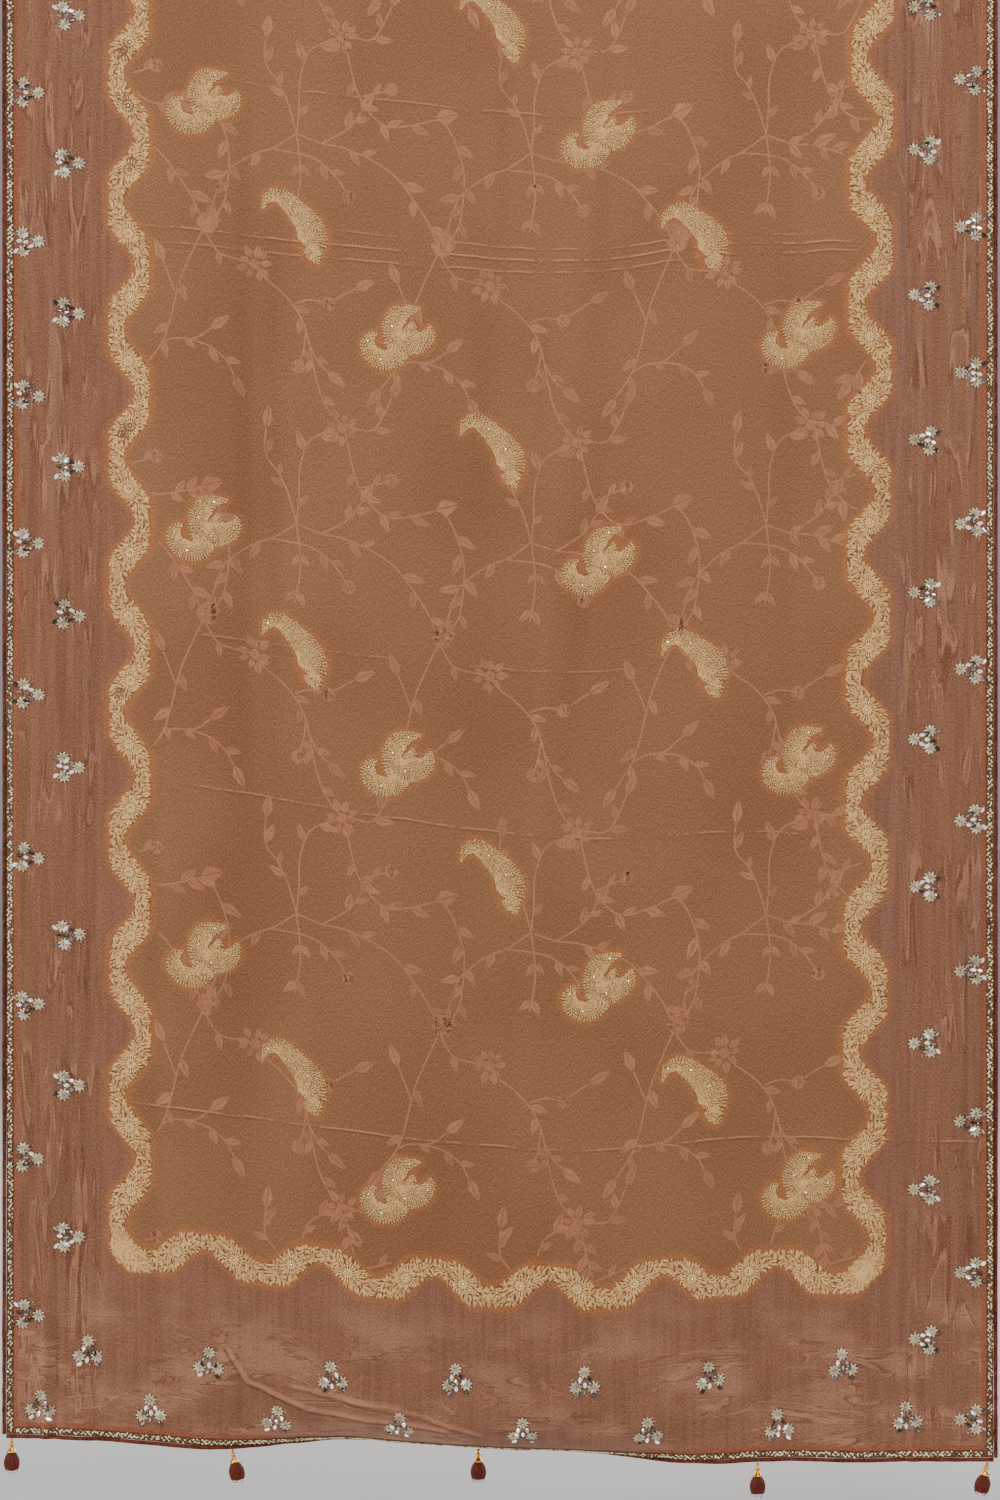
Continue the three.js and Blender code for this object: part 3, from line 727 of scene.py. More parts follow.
# Each limb is a row of points along its middle: across, up and half its width, in millimetres.
PAISLEY_LIMBS = (
    ((27, 35.5, 0.8), (15.7, 32.9, 5.4), (3.4, 27, 10.3), (-4.0, 15.7, 10.8), (-4.0, 2, 11.5),
     (4.3, -7.2, 11.3), (18.6, -5.1, 12.4), (31.0, 0.5, 10.2), (38.2, 10, 5), (37.6, 17, 1.2)),
    ((-22.5, 2.0, 1.0), (-30, -2, 5), (-33, -12.3, 8.3), (-27.2, -22.5, 9.7), (-15.7, -27, 10.8),
     (-2.9, -24, 10.3), (6, -15, 9)),
    ((5, 2, 3.5), (12, 7.5, 4.2), (18.2, 13.5, 4.0), (17.2, 18.5, 1.8)),
    ((-6, -12, 4), (-10.5, -9.5, 3), (-13, -8, 1.2)),
)
FEATHER_LIMBS = (
    ((-40, 13, 0.6), (-38, 19, 2.4), (-33, 27, 5.6), (-22.3, 30.5, 8), (-10.9, 24, 9.8),
     (0.6, 12.9, 12), (11.5, 1.4, 14.3), (17.2, -11.4, 16.3), (17.5, -21.4, 14.5), (14.5, -27, 10.5)),
    ((15, -26, 8), (18.5, -32.5, 8.4), (21.2, -37, 7.2), (21.4, -42.5, 2.5)),
)


def curve_through(points, step):
    """A smooth path through the given points, as evenly spaced rows with the same columns."""
    points = np.array(points, dtype=float)
    padded = np.vstack([2 * points[0] - points[1], points, 2 * points[-1] - points[-2]])
    path = []
    for a, b, c, d in zip(padded, padded[1:], padded[2:], padded[3:]):
        for t in np.linspace(0, 1, 12, endpoint=False):
            path.append(
                0.5 * (2 * b + (c - a) * t + (2 * a - 5 * b + 4 * c - d) * t**2
                       + (3 * b - a - 3 * c + d) * t**3)
            )
    path = np.array([*path, points[-1]])
    lengths = np.concatenate([[0], np.cumsum(np.hypot(*np.diff(path[:, :2], axis=0).T))])
    stations = np.linspace(0, lengths[-1], max(2, round(lengths[-1] / step) + 1))
    return np.stack([np.interp(stations, lengths, column) for column in path.T], axis=1)


def directions(path):
    ahead = np.gradient(path[:, :2], axis=0)
    return ahead / np.linalg.norm(ahead, axis=1, keepdims=True)


motifs = []
for limbs, columns in ((PAISLEY_LIMBS, PAISLEY_COLUMNS), (FEATHER_LIMBS, FEATHER_COLUMNS)):
    for across, lowest in columns:
        for height in np.arange(lowest, AT_TURN - 0.05, MOTIF_REPEAT):
            motifs.append((limbs, across, height))

STAIN_REACH = 0.010


def keep_stain(piece, cloth, step):
    """Keeps the stain round the motifs on the piece's points: 1 on a motif, 0 past its reach."""
    stain = np.zeros_like(cloth.u)
    for limbs, across, height in motifs:
        for limb in limbs:
            for x, y, half in curve_through(limb, step) / 1000:
                away = np.hypot(cloth.u - across - x, cloth.v - height - y) - half
                stain = np.maximum(stain, 1 - smooth(0.001, STAIN_REACH, away))
    count = len(piece.data.vertices)
    values = np.tile(stain.reshape(-1), math.ceil(count / stain.size))[:count]
    layer = piece.data.attributes.new("stain", "FLOAT", "POINT")
    layer.data.foreach_set("value", values.astype(np.float32))


keep_stain(front_piece, front, 4.0)
front_creases = [crease for crease in CREASES if crease[0] < AT_ROD_TOP]
front_piece.data.materials.append(silk("front_silk", front_creases, PAINTED_WRINKLES))
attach(front_piece, "saree")
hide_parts("pallu_front")


# The back fall is the same cloth going on over the rod, down to its turn 1.6 m below. It carries
# the same field, band and borders, since the pattern runs on along the saree.
back_stations = np.concatenate([
    np.linspace(AT_ROD_TOP, AT_BACK_ROD, 9),
    np.linspace(AT_BACK_ROD, AT_TURN, 150)[1:],
    np.linspace(AT_TURN, AT_TURN_BOTTOM, 7)[1:],
])
BACK_SHARES = (back_stations - AT_ROD_TOP) / (AT_TURN_BOTTOM - AT_ROD_TOP)
back = Cloth(
    back_lie, columns_across(18, 80), BACK_SHARES, AT_ROD_TOP + SEAM_GAP / 2,
    AT_TURN_BOTTOM - SEAM_GAP / 2,
)
back_piece = sheet_piece("back_cloth", back)
keep_stain(back_piece, back, 6.0)
back_creases = [crease for crease in CREASES if crease[0] > AT_ROD_TOP]
back_piece.data.materials.append(silk("back_silk", back_creases))
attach(back_piece, "saree")
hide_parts("back_fall")
AT_TURN_BOTTOM - AT_ROD_TOP


# The inner return is the rest of the length, its wrong side outwards, up to the rod and over it to
# the plain end that is tucked behind the front.
INNER_ACROSS = np.linspace(-CLOTH_HALF, CLOTH_HALF, 91)
inner_stations = np.concatenate([
    np.linspace(AT_TURN_BOTTOM, AT_INNER, 7),
    np.linspace(AT_INNER, AT_INNER_ROD, 84)[1:],
    np.linspace(AT_INNER_ROD, AT_TUCK, 17)[1:],
    np.linspace(AT_TUCK, SAREE_LENGTH, 24)[1:],
])
INNER_SHARES = (inner_stations - AT_TURN_BOTTOM) / (SAREE_LENGTH - AT_TURN_BOTTOM)
inner = Cloth(inner_lie, INNER_ACROSS, INNER_SHARES, AT_TURN_BOTTOM + SEAM_GAP / 2, SAREE_LENGTH)
inner_piece = sheet_piece("inner_cloth", inner)
inner_piece.data.materials.append(silk("inner_silk", CREASES[:1], with_band=False))
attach(inner_piece, "saree")
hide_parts("inner_return")
SAREE_LENGTH - AT_TURN_BOTTOM


# The jaal is a self-toned vine woven into the field: thin stems with leaves, buds, round flowers
# and rosettes, repeated every 0.269 m across and 0.447 m along.
VINE_ACROSS = 0.269
VINE_ALONG = 0.447
VINE_START = (-0.070, 0.053)
ON_CLOTH = SHELL / 2
VINE_LIFT = ON_CLOTH + 0.00018
LEAF_SCALE = 1.28
STEM_WIDTH = 0.0021
STEM_MARGIN = 0.004
LEAF_MARGIN = 0.012
# Each stem is a row of points in millimetres from the tile's knot, read off the photo, then what ends
# it, and its leaves: how far along it each one grows, on which side, and its length in
# millimetres.
STEMS = (
    (((106, 121), (135, 112), (156, 110), (177, 104), (195, 97), (219, 82), (240, 57), (258, 30),
      (269, 2)),
     None, ((0.28, -1, 17), (0.34, 1, 14), (0.62, 1, 20), (0.72, -1, 16), (0.88, 1, 17))),
    (((135, 112), (153, 123), (168, 134), (180, 152)), "leaf", ((0.55, 1, 16), (0.80, -1, 14))),
    (((106, 121), (109, 155), (109, 176), (113, 198), (124, 220), (158, 236)),
     "rosette", ((0.15, -1, 13), (0.60, 1, 18), (0.78, -1, 17))),
    (((106, 121), (96, 155), (84, 179), (73, 191), (69, 207), (71, 227)),
     "leaf", ((0.35, 1, 15), (0.72, -1, 17), (0.50, -1, 12))),
    (((106, 121), (79, 102), (58, 93), (37, 78), (20, 58), (4, 6)),
     "knot", ((0.30, 1, 17), (0.62, -1, 18))),
    (((74, 101), (116, 97), (137, 88), (153, 73), (166, 54)),
     "flower", ((0.55, -1, 16), (0.66, 1, 14))),
    (((106, 121), (110, 88), (110, 64), (104, 30)),
     None, ((0.35, 1, 13), (0.37, -1, 13), (0.85, 1, 15), (0.87, -1, 15))),
    (((0, 0), (-24, -54), (-32, -82), (-39, -111), (-48, -136), (-66, -162)),
     "leaf", ((0.42, 1, 17), (0.70, -1, 18), (0.84, 1, 14))),
    (((-32, -78), (-38, -62), (-46, -42)), "leaf", ()),
    (((-48, -136), (-34, -129), (-10, -127), (8, -114)), "leaf", ((0.5, -1, 12),)),
    (((-20, -128), (6, -134), (25, -148), (34, -164)), "leaf", ((0.35, -1, 15), (0.70, 1, 14))),
    (((0, 0), (16, -25), (38, -31), (58, -34)), "rosette", ((0.45, -1, 14),)),
    (((58, -34), (69, -48), (88, -62), (105, -80), (117, -104), (129, -160), (141, -190), (160, -211)),
     None, ((0.30, 1, 16), (0.36, -1, 15), (0.60, -1, 14), (0.80, 1, 15))),
    (((104, -74), (122, -68), (143, -71)), "flower", ()),
    (((150, -66), (163, -57), (172, -52)), "leaf", ()),
    (((117, -104), (114, -126), (108, -146)), "flower", ((0.5, 1, 12),)),
    (((122, -122), (131, -139), (141, -148)), "leaf", ((0.4, 1, 13),)),
    (((160, -207), (190, -212), (204, -196), (215, -172)), "leaf", ((0.45, -1, 17), (0.68, 1, 16))),
    (((160, -207), (174, -268), (192, -297), (212, -309), (238, -305), (270, -295)),
     "bud", ((0.30, -1, 15), (0.45, 1, 15), (0.62, -1, 17), (0.66, 1, 15), (0.82, -1, 18))),
    (((270, -295), (282, -308), (293, -335), (298, -359), (296, -393), (290, -420), (273, -440)),
     "knot", ((0.20, 1, 19), (0.34, -1, 20), (0.52, 1, 18), (0.64, -1, 18), (0.80, 1, 15))),
    (((180, -278), (198, -272), (215, -266)), "flower", ((0.4, 1, 12),)),
)


def band_edges(band, along):
    """The two sides of a run of the band, as places across it."""
    half = band["repeat"] / 2
    to_notch = np.abs((along - band["notch"] + half) % band["repeat"] - half)
    low_cut = band["low_cut"] * (1 - smooth(0, band["reach"], to_notch))
    high_cut = band["high_cut"] * smooth(half - band["reach"], half, to_notch)
    drift = band["lean"] * along
    return band["low"] + drift + low_cut, band["high"] + drift - high_cut


def in_band(u, v, margin):
    """Whether a place lies inside the scalloped band, by at least the margin."""
    right_of = u > band_edges(BAND_LEFT, v)[1] + margin
    left_of = u < band_edges(BAND_RIGHT, v)[0] - margin
    return right_of & left_of & (v > band_edges(BAND_HEM, u)[1] + margin)


class Needlework:
    """Gathers what is worked on the cloth, as flat points with a lift, for one mesh a stretch."""

    def __init__(self):
        self.places = []
        self.tones = []
        self.faces = []
        self.count = 0

    def add(self, places, faces, tones):
        """places is (shapes, points, 3): across, along and lift. faces serve every shape."""
        shapes, points = places.shape[:2]
        faces = np.asarray(faces)
        starts = self.count + points * np.arange(shapes)
        self.places.append(places.reshape(-1, 3))
        self.faces += (faces[None] + starts[:, None, None]).reshape(-1, faces.shape[1]).tolist()
        self.tones.append(np.repeat(np.broadcast_to(tones, shapes), points))
        self.count += shapes * points

    def stamp(self, shape, faces, across, along, turn, long, wide, tones, high, lift):
        """Copies a shape, drawn along its own +X, to many places with their turn and size. high
        is the shape's own height, and lift how far above the cloth it starts."""
        shape = np.array(shape, dtype=float)
        across, along, turn, long, wide = (
            np.atleast_1d(part)[:, None] for part in (across, along, turn, long, wide)
        )
        x = shape[:, 0] * long
        y = shape[:, 1] * wide
        places = np.broadcast_arrays(
            across + x * np.cos(turn) - y * np.sin(turn),
            along + x * np.sin(turn) + y * np.cos(turn),
            shape[:, 2] * high + lift,
        )
        self.add(np.stack(places, axis=-1), faces, tones)

    def ribbon(self, path, half, lift, tone, lanes=1):
        """A flat strip along a path. half is one width for the whole strip or one a station."""
        ahead = directions(path)
        half = np.broadcast_to(half, len(path))[:, None]
        aside = np.stack([-ahead[:, 1], ahead[:, 0]], axis=1) * half
        level = np.full((len(path), 1), lift)
        shares = np.linspace(-1, 1, lanes + 1)
        rows = [np.hstack([path[:, :2] + aside * share, level]) for share in shares]
        places = np.stack(rows, axis=1).reshape(1, -1, 3)
        wide = lanes + 1
        faces = [
            (wide * i + k, wide * (i + 1) + k, wide * (i + 1) + k + 1, wide * i + k + 1)
            for i in range(len(path) - 1) for k in range(lanes)
        ]
        self.add(places, faces, tone)

    def piece(self, name, cloth, finish, slot, node=None):
        places = np.vstack(self.places)
        points = cloth.at(places[:, 0], places[:, 1], places[:, 2])
        mesh = bpy.data.meshes.new(name)
        mesh.from_pydata(points.tolist(), [], self.faces)
        layer = mesh.attributes.new("tone", "FLOAT", "POINT")
        layer.data.foreach_set("value", np.concatenate(self.tones).astype(np.float32))
        mesh.materials.append(finish)
        made = bpy.data.objects.new(name, mesh)
        bpy.context.collection.objects.link(made)
        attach(made, "saree")
        if node:
            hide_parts(node)
        return made


# A woven leaf has two toothed halves beside a bare vein, and a pointed tip.
LEAF_TEETH = 5


def leaf_shape():
    points = []
    faces = []
    for side in (1, -1):
        start = len(points)
        for i in range(LEAF_TEETH + 1):
            t = i / LEAF_TEETH
            tooth = 0.86 if i % 2 else 1.0
            reach = 0.04 + 0.46 * math.sin(math.pi * t**0.8) * tooth
            points.append((t, side * 0.035, 0.0))
            points.append((t + 0.03 * (i % 2), side * reach, 0.0))
        for i in range(LEAF_TEETH):
            a = start + 2 * i
            quad = (a, a + 2, a + 3, a + 1)
            faces.append(quad if side > 0 else quad[::-1])
    return points, faces


LEAF, LEAF_FACES = leaf_shape()
draw = np.random.default_rng(12)


def grow_leaf(work, x, y, turn, long, wide=0.46):
    long = long * LEAF_SCALE
    tone = draw.uniform(0.2, 1.0)
    work.stamp(LEAF, LEAF_FACES, x, y, turn, long, long * wide, tone, 0.0, VINE_LIFT)


def grow_flower(work, x, y, petals, radius, turn=0.0):
    turns = turn + 2 * np.pi * np.arange(petals) / petals
    tones = draw.uniform(0.3, 1.0, petals)
    work.stamp(
        LEAF, LEAF_FACES, x + 0.18 * radius * np.cos(turns), y + 0.18 * radius * np.sin(turns), turns,
        0.82 * radius, 2.4 * radius * math.sin(math.pi / petals), tones, 0.0, VINE_LIFT,
    )


def on_front(v, u):
    """Whether a place lies in front of the rod's top line, where the front cloth ends."""
    return v + bow(np.asarray(u, dtype=float)) < AT_ROD_TOP


def vine_tile(left, low):
    """One tile of the jaal, as far as it lies in the field. A stem that crosses the rod's top line
    is split there between the two stretches of cloth."""
    for points, ending, leaves in STEMS:
        path = curve_through(points, 7.0) / 1000 + (left, low)
        keep = in_band(path[:, 0], path[:, 1], STEM_MARGIN)
        if keep.sum() < 3:
            continue
        path = path[np.argmax(keep): len(keep) - np.argmax(keep[::-1])]
        here = on_front(path[:, 1], path[:, 0])
        crossings = np.nonzero(here[1:] != here[:-1])[0] + 1
        for run in np.split(np.arange(len(path)), crossings):
            if len(run) > 1:
                vine[bool(here[run[0]])].ribbon(path[run], STEM_WIDTH / 2, VINE_LIFT, 0.75)
        ahead = directions(path)
        for share, side, long in leaves:
            i = round(share * (len(path) - 1))
            turn = math.atan2(ahead[i, 1], ahead[i, 0]) + side * math.radians(38)
            if in_band(path[i, 0], path[i, 1], LEAF_MARGIN):
                size = long / 1000 * draw.uniform(0.92, 1.12)
                grow_leaf(vine[bool(here[i])], path[i, 0], path[i, 1], turn, size)
        x, y = path[-1]
        work = vine[bool(here[-1])]
        turn = math.atan2(ahead[-1, 1], ahead[-1, 0])
        if not in_band(x, y, LEAF_MARGIN):
            continue
        if ending == "leaf":
            grow_leaf(work, x, y, turn, 0.021)
        if ending == "bud":
            grow_leaf(work, x - 0.004, y, turn, 0.020, 0.75)
        if ending == "flower":
            grow_flower(work, x, y, 7, 0.0085)
            grow_flower(work, x, y, 5, 0.0045, 0.5)
        if ending == "knot":
            grow_flower(work, x, y, 6, 0.0125)
            grow_leaf(work, x - 0.003, y + 0.006, turn + 2.2, 0.015)
            grow_leaf(work, x + 0.005, y + 0.006, turn - 2.6, 0.013)
        if ending == "rosette":
            grow_flower(work, x, y, 5, 0.0065)
            for k in range(9):
                angle = 2 * math.pi * k / 9 + draw.uniform(-0.2, 0.2)
                root = 0.0062 + 0.0022 * (k % 2)
                root_x = x + root * math.cos(angle)
                root_y = y + root * math.sin(angle)
                grow_leaf(work, root_x, root_y, angle, draw.uniform(0.0085, 0.0125), 0.62)


vine = {True: Needlework(), False: Needlework()}
for row in range(-1, 9):
    for column in range(-3, 3):
        left = VINE_START[0] + column * VINE_ACROSS
        low = VINE_START[1] + row * VINE_ALONG
        if low < AT_TURN:
            vine_tile(left, low)
woven = Finish("woven_vine", Sheen_Weight=0.06, Specular_IOR_Level=0.35)
twill = woven.noise(1, 1, 0.5, woven.place((900, 900, 500)))
tone = woven.attribute("tone")
colour = woven.mix(tone, shade(166, 119, 87), shade(183, 134, 101))
woven.set("Base Color", woven.mix((1 - twill.rise(0.38, 0.56)) * 0.5, colour, shade(126, 84, 58)))
woven.set("Roughness", 0.42 + twill * 0.2)
woven.bump(twill, 0.0002)
vine[True].piece("vine_front", front, woven.material, "silk")
vine[False].piece("vine_back", back, woven.material, "silk")


# The scalloped band is a woven garland in cream and tan: round flowers, each with a sequin in its
# middle, and between them curling leaves that feather out on both sides.
BAND_LIFT = ON_CLOTH + 0.0003
HEAD_RADIUS = 0.0115
FRONT_SPACING = 0.0033
BACK_SPACING = 0.0046
LEAF_STROKE = ((0.0, -0.10, 0), (0.0, 0.10, 0), (0.45, -0.50, 0), (0.42, 0.0, 1), (0.45, 0.50, 0),
               (1.0, 0.10, 0.15))
STROKE_FACES = ((0, 2, 3), (0, 3, 1), (1, 3, 4), (2, 5, 3), (3, 5, 4))
HEM_RUN = (-0.4430, 0.4370)
SIDE_FROM = 0.1930
# Where the left and the right run go over from the front's cloth to the back's.
LEFT_CHANGE = AT_ROD_TOP - 0.0259
RIGHT_CHANGE = AT_ROD_TOP - 0.0010
band_front = Needlework()
band_back = Needlework()
sequins = []


def garland(work, band, upright, start, end, spacing):
    """One run of the band: its ground, its flower heads, and the leaves that spread from them."""
    stations = np.arange(start, end, 0.004)
    low, high = band_edges(band, stations)
    ragged = 0.0012 * np.sin(stations * 1500) + 0.0008 * np.sin(stations * 3700)
    low = low + 0.0022 + ragged
    high = high - 0.0022 + ragged

    def lay(along, across):
        return np.stack([across, along] if upright else [along, across], axis=-1)

    rows = np.stack([lay(stations, low), lay(stations, high)], axis=1).reshape(-1, 2)
    places = np.hstack([rows, np.full((len(rows), 1), BAND_LIFT)])[None]
    faces = [(2 * i, 2 * i + 1, 2 * i + 3, 2 * i + 2) for i in range(len(stations) - 1)]
    work.add(places, faces if upright else [face[::-1] for face in faces], 0.0)

    first = band["notch"] + band["repeat"] / 4
    step = band["repeat"] / 2
    first_count = math.ceil((start - 0.01 - first) / step)
    last_count = math.floor((end + 0.01 - first) / step)
    count = np.arange(first_count, last_count + 1)
    heads_along = first + count * step
    middle = (band["low"] + band["high"]) / 2 + band["lean"] * heads_along
    heads_across = middle + 0.001 * np.where(count % 2, 1, -1)

    along = np.arange(start, end, spacing)
    across = np.arange(band["low"] - 0.01, band["high"] + 0.02, spacing * 0.82)
    along, across = (part.reshape(-1) for part in np.meshgrid(along, across))
    along = along + draw.uniform(-0.4, 0.4, len(along)) * spacing
    across = across + draw.uniform(-0.4, 0.4, len(across)) * spacing
    low, high = band_edges(band, along)
    keep = (across > low + 0.0012) & (across < high - 0.0012)
    along, across, low, high = along[keep], across[keep], low[keep], high[keep]
    nearest = np.argmin(np.abs(along[:, None] - heads_along[None]), axis=1)
    from_head_along = along - heads_along[nearest]
    from_head_across = across - heads_across[nearest]
    far = np.hypot(from_head_along, from_head_across)
    keep = far > HEAD_RADIUS * 0.92
    along, across, low, high = along[keep], across[keep], low[keep], high[keep]
    from_head_along, from_head_across = from_head_along[keep], from_head_across[keep]
    side = (across - (low + high) / 2) / np.maximum((high - low) / 2, 1e-6)
    lean_across = from_head_across / 0.014 + 1.5 * side
    lean_along = from_head_along / 0.016
    curl = 0.55 * np.sin(along * 310 + across * 240)
    size = spacing * draw.uniform(1.45, 2.15, len(along))
    turn = np.arctan2(lean_along, lean_across) if upright else np.arctan2(lean_across, lean_along)
    turn = turn + curl + draw.uniform(-0.30, 0.30, len(along))
    spots = lay(along, across)
    back_x = spots[:, 0] - 0.5 * size * np.cos(turn)
    back_y = spots[:, 1] - 0.5 * size * np.sin(turn)
    wide = spacing * draw.uniform(0.72, 0.95, len(size))
    tones = draw.uniform(0.35, 1.05, len(size))
    lift = BAND_LIFT + draw.uniform(0.0001, 0.0006, len(size))[:, None]
    work.stamp(LEAF_STROKE, STROKE_FACES, back_x, back_y, turn, size, wide, tones, 0.0007, lift)
    for x, y in lay(heads_along, heads_across):
        for ring, petals, root, long in ((0, 19, 0.0062, 0.0066), (1, 13, 0.0016, 0.0062)):
            turns = 2 * np.pi * (np.arange(petals) + 0.5 * ring) / petals
            work.stamp(
                LEAF_STROKE, STROKE_FACES, x + root * np.cos(turns), y + root * np.sin(turns), turns,
                long, 0.0026, draw.uniform(0.75, 1.2, petals), 0.0008, BAND_LIFT + 0.0006,
            )
        sequins.append((x, y))


for band, change in ((BAND_LEFT, LEFT_CHANGE), (BAND_RIGHT, RIGHT_CHANGE)):
    garland(band_front, band, True, SIDE_FROM, change, FRONT_SPACING)
    garland(band_back, band, True, change, AT_TURN - 0.006, BACK_SPACING)
garland(band_front, BAND_HEM, False, *HEM_RUN, FRONT_SPACING)
cream = Finish("cream_thread", Sheen_Weight=0.08, Specular_IOR_Level=0.4, Roughness=0.5)
tone = cream.attribute("tone")
thread_grain = cream.noise(1, 2, 0.5, cream.place((1400, 1400, 1400)))
between = (1 - thread_grain.rise(0.38, 0.56)) * 0.35
colour = cream.mix(tone.rise(0.0, 0.35), shade(132, 92, 54), shade(196, 152, 102))
colour = cream.mix(tone.rise(0.3, 1.2), colour, shade(232, 198, 138))
cream.set("Base Color", cream.mix(between, colour, shade(146, 102, 66)))
cream.bump(thread_grain, 0.0002)
band_front.piece("band_front", front, cream.material, "silk")
band_back.piece("band_back", back, cream.material, "silk")


# The paisleys and feathers are worked in fine cream grains, slanted this way and that like a
# herringbone, on a slightly darker ground, with a ragged outline.
GRAIN = ((0.0, 0.0, 0), (0.25, -0.45, 0), (0.75, -0.45, 0), (1.0, 0.0, 0), (0.75, 0.45, 0),
         (0.25, 0.45, 0), (0.5, 0.0, 1))
GRAIN_FACES = ((0, 1, 6), (1, 2, 6), (2, 3, 6), (3, 4, 6), (4, 5, 6), (5, 0, 6))
# The grains' length and width, and the steps along and across a limb, in front and on the back.
FRONT_GRAIN = (0.0027, 0.00135, 0.00235, 0.00178)
BACK_GRAIN = (0.0040, 0.0018, 0.0032, 0.0026)
MOTIF_MARGIN = 0.02
MOTIF_LIFT = ON_CLOTH + 0.0004
motif_front = Needlework()
motif_back = Needlework()
for limbs, across, height in motifs:
    if not in_band(np.array(across), np.array(height), MOTIF_MARGIN):
        continue
    front_part = bool(on_front(height, across))
    work = motif_front if front_part else motif_back
    grain_long, grain_wide, step, cross_step = FRONT_GRAIN if front_part else BACK_GRAIN
    for order, limb in enumerate(limbs):
        lift = MOTIF_LIFT + 0.00012 * order
        ground = curve_through(limb, 3.0) / 1000 + (across, height, 0)
        work.ribbon(ground[:, :2], np.maximum(ground[:, 2], 0.0006) * 0.96, lift, 0.06, 6)
        rows = curve_through(limb, step * 1000) / 1000 + (across, height, 0)
        ahead = directions(rows)
        aside = np.stack([-ahead[:, 1], ahead[:, 0]], axis=1)
        for i, (x, y, half) in enumerate(rows):
            offsets = np.arange(-half, half + cross_step / 2, cross_step)
            count = len(offsets)
            odd = np.arange(count) % 2
            offsets = offsets + draw.uniform(-0.00025, 0.00025, count)
            outward = np.sign(offsets) * smooth(0.6, 1.0, np.abs(offsets) / max(half, 1e-6))
            turn = math.atan2(ahead[i, 1], ahead[i, 0]) + np.where(odd, 1, -1) * np.radians(24)
            turn += np.radians(draw.uniform(-14, 14, count)) + outward * np.radians(28)
            shift = draw.uniform(-0.0004, 0.0004, count) + 0.0007 * odd
            size = grain_long * draw.uniform(0.8, 1.25, count)
            grain_x = x + aside[i, 0] * offsets + ahead[i, 0] * shift - 0.5 * size * np.cos(turn)
            grain_y = y + aside[i, 1] * offsets + ahead[i, 1] * shift - 0.5 * size * np.sin(turn)
            tones = draw.uniform(0.55, 1.4, count)
            work.stamp(GRAIN, GRAIN_FACES, grain_x, grain_y, turn, size, grain_wide, tones,
                       0.00055, lift + 0.0003)
    if front_part:
        for limb in limbs[:2]:
            spots = curve_through(limb, 14.0) / 1000 + (across, height, 0)
            sequins += [(x, y) for x, y, _ in spots[1:-1:2]]
motif_front.piece("motifs_front", front, cream.material, "silk")
motif_back.piece("motifs_back", back, cream.material, "silk")


# A tiny clear sequin is sewn in the middle of each flower of the band, and a few on each motif.
SEQUIN_RADIUS = 0.00105


def disc(sides, notch=1.0):
    """A low cone round a middle point, with every other corner of its rim notched in."""
    points = [(0, 0, 1.0)]
    for k in range(sides):
        angle = 2 * math.pi * k / sides
        reach = 1.0 if k % 2 else notch
        points.append((math.cos(angle) * reach, math.sin(angle) * reach, 0.0))
    return points, [(0, 1 + k, 1 + (k + 1) % sides) for k in range(sides)]


SEQUIN, SEQUIN_FACES = disc(7)
sequin_front = Needlework()
sequin_back = Needlework()
for x, y in sequins:
    work = sequin_front if on_front(y, x) else sequin_back
    work.stamp(SEQUIN, SEQUIN_FACES, x, y, 0.0, SEQUIN_RADIUS, SEQUIN_RADIUS, draw.uniform(0, 1),
               0.0005, ON_CLOTH + 0.0017)
clear = Finish("clear_sequin", Metallic=0.85, Roughness=0.12)
clear.set("Base Color", clear.mix(clear.attribute("tone"), (0.80, 0.78, 0.70), (1.0, 1.0, 0.97)))
sequin_front.piece("sequins_front", front, clear.material, "glass_beads")
sequin_back.piece("sequins_back", back, clear.material, "glass_beads")


# Each mirror-work flower has three round fans of silver thread and leaf-shaped mirrors between
# them, held down by tiny beads. They run along the borders with their tips to the middle.
FAN_RADIUS = 0.0070
FAN_AT = 0.0118
FAN_PETALS = 9
PETAL_WIDE = 0.0034
FAN_BEAD = 0.0009
RING_BEADS = 13
RING_BEAD = 0.0007
MIRROR_LONG = 0.0074
MIRROR_WIDE = 0.0046
# The mirrors of one flower: distance from its middle, the way there, and the way they point.
MIRRORS = (
    (0.0062, 150, 75), (0.0062, 30, 105), (0.0030, 272, 88), (0.0105, 262, 80), (0.0178, 236, 35),
    (0.0178, 304, 145), (0.0080, 200, 120), (0.0085, 338, 60),
)
fan_work = {True: Needlework(), False: Needlework()}
mirror_work = {True: Needlework(), False: Needlework()}
bead_work = {True: Needlework(), False: Needlework()}
FAN, FAN_FACES = disc(18, 0.90)
PETAL = ((0, 0, 0.3), (0.55, -0.5, 0), (0.62, 0, 1.0), (0.55, 0.5, 0), (1.0, -0.28, 0), (1.0, 0.28, 0))
PETAL_FACES = ((0, 1, 2), (0, 2, 3), (1, 4, 2), (2, 4, 5), (2, 5, 3))
MIRROR = ((0, 0, 0), (0.3, -0.42, 0), (0.7, -0.42, 0), (1, 0, 0), (0.7, 0.42, 0), (0.3, 0.42, 0),
          (0.13, 0, 1), (0.36, -0.26, 1), (0.64, -0.26, 1), (0.87, 0, 1), (0.64, 0.26, 1),
          (0.36, 0.26, 1))
MIRROR_FACES = tuple((k, (k + 1) % 6, 6 + (k + 1) % 6) for k in range(6)) + tuple(
    (k, 6 + (k + 1) % 6, 6 + k) for k in range(6)
) + ((6, 7, 8), (6, 8, 9), (6, 9, 10), (6, 10, 11))
BEAD = ((1, 0, 0), (0, 1, 0), (-1, 0, 0), (0, -1, 0), (0, 0, 1), (0, 0, -1))
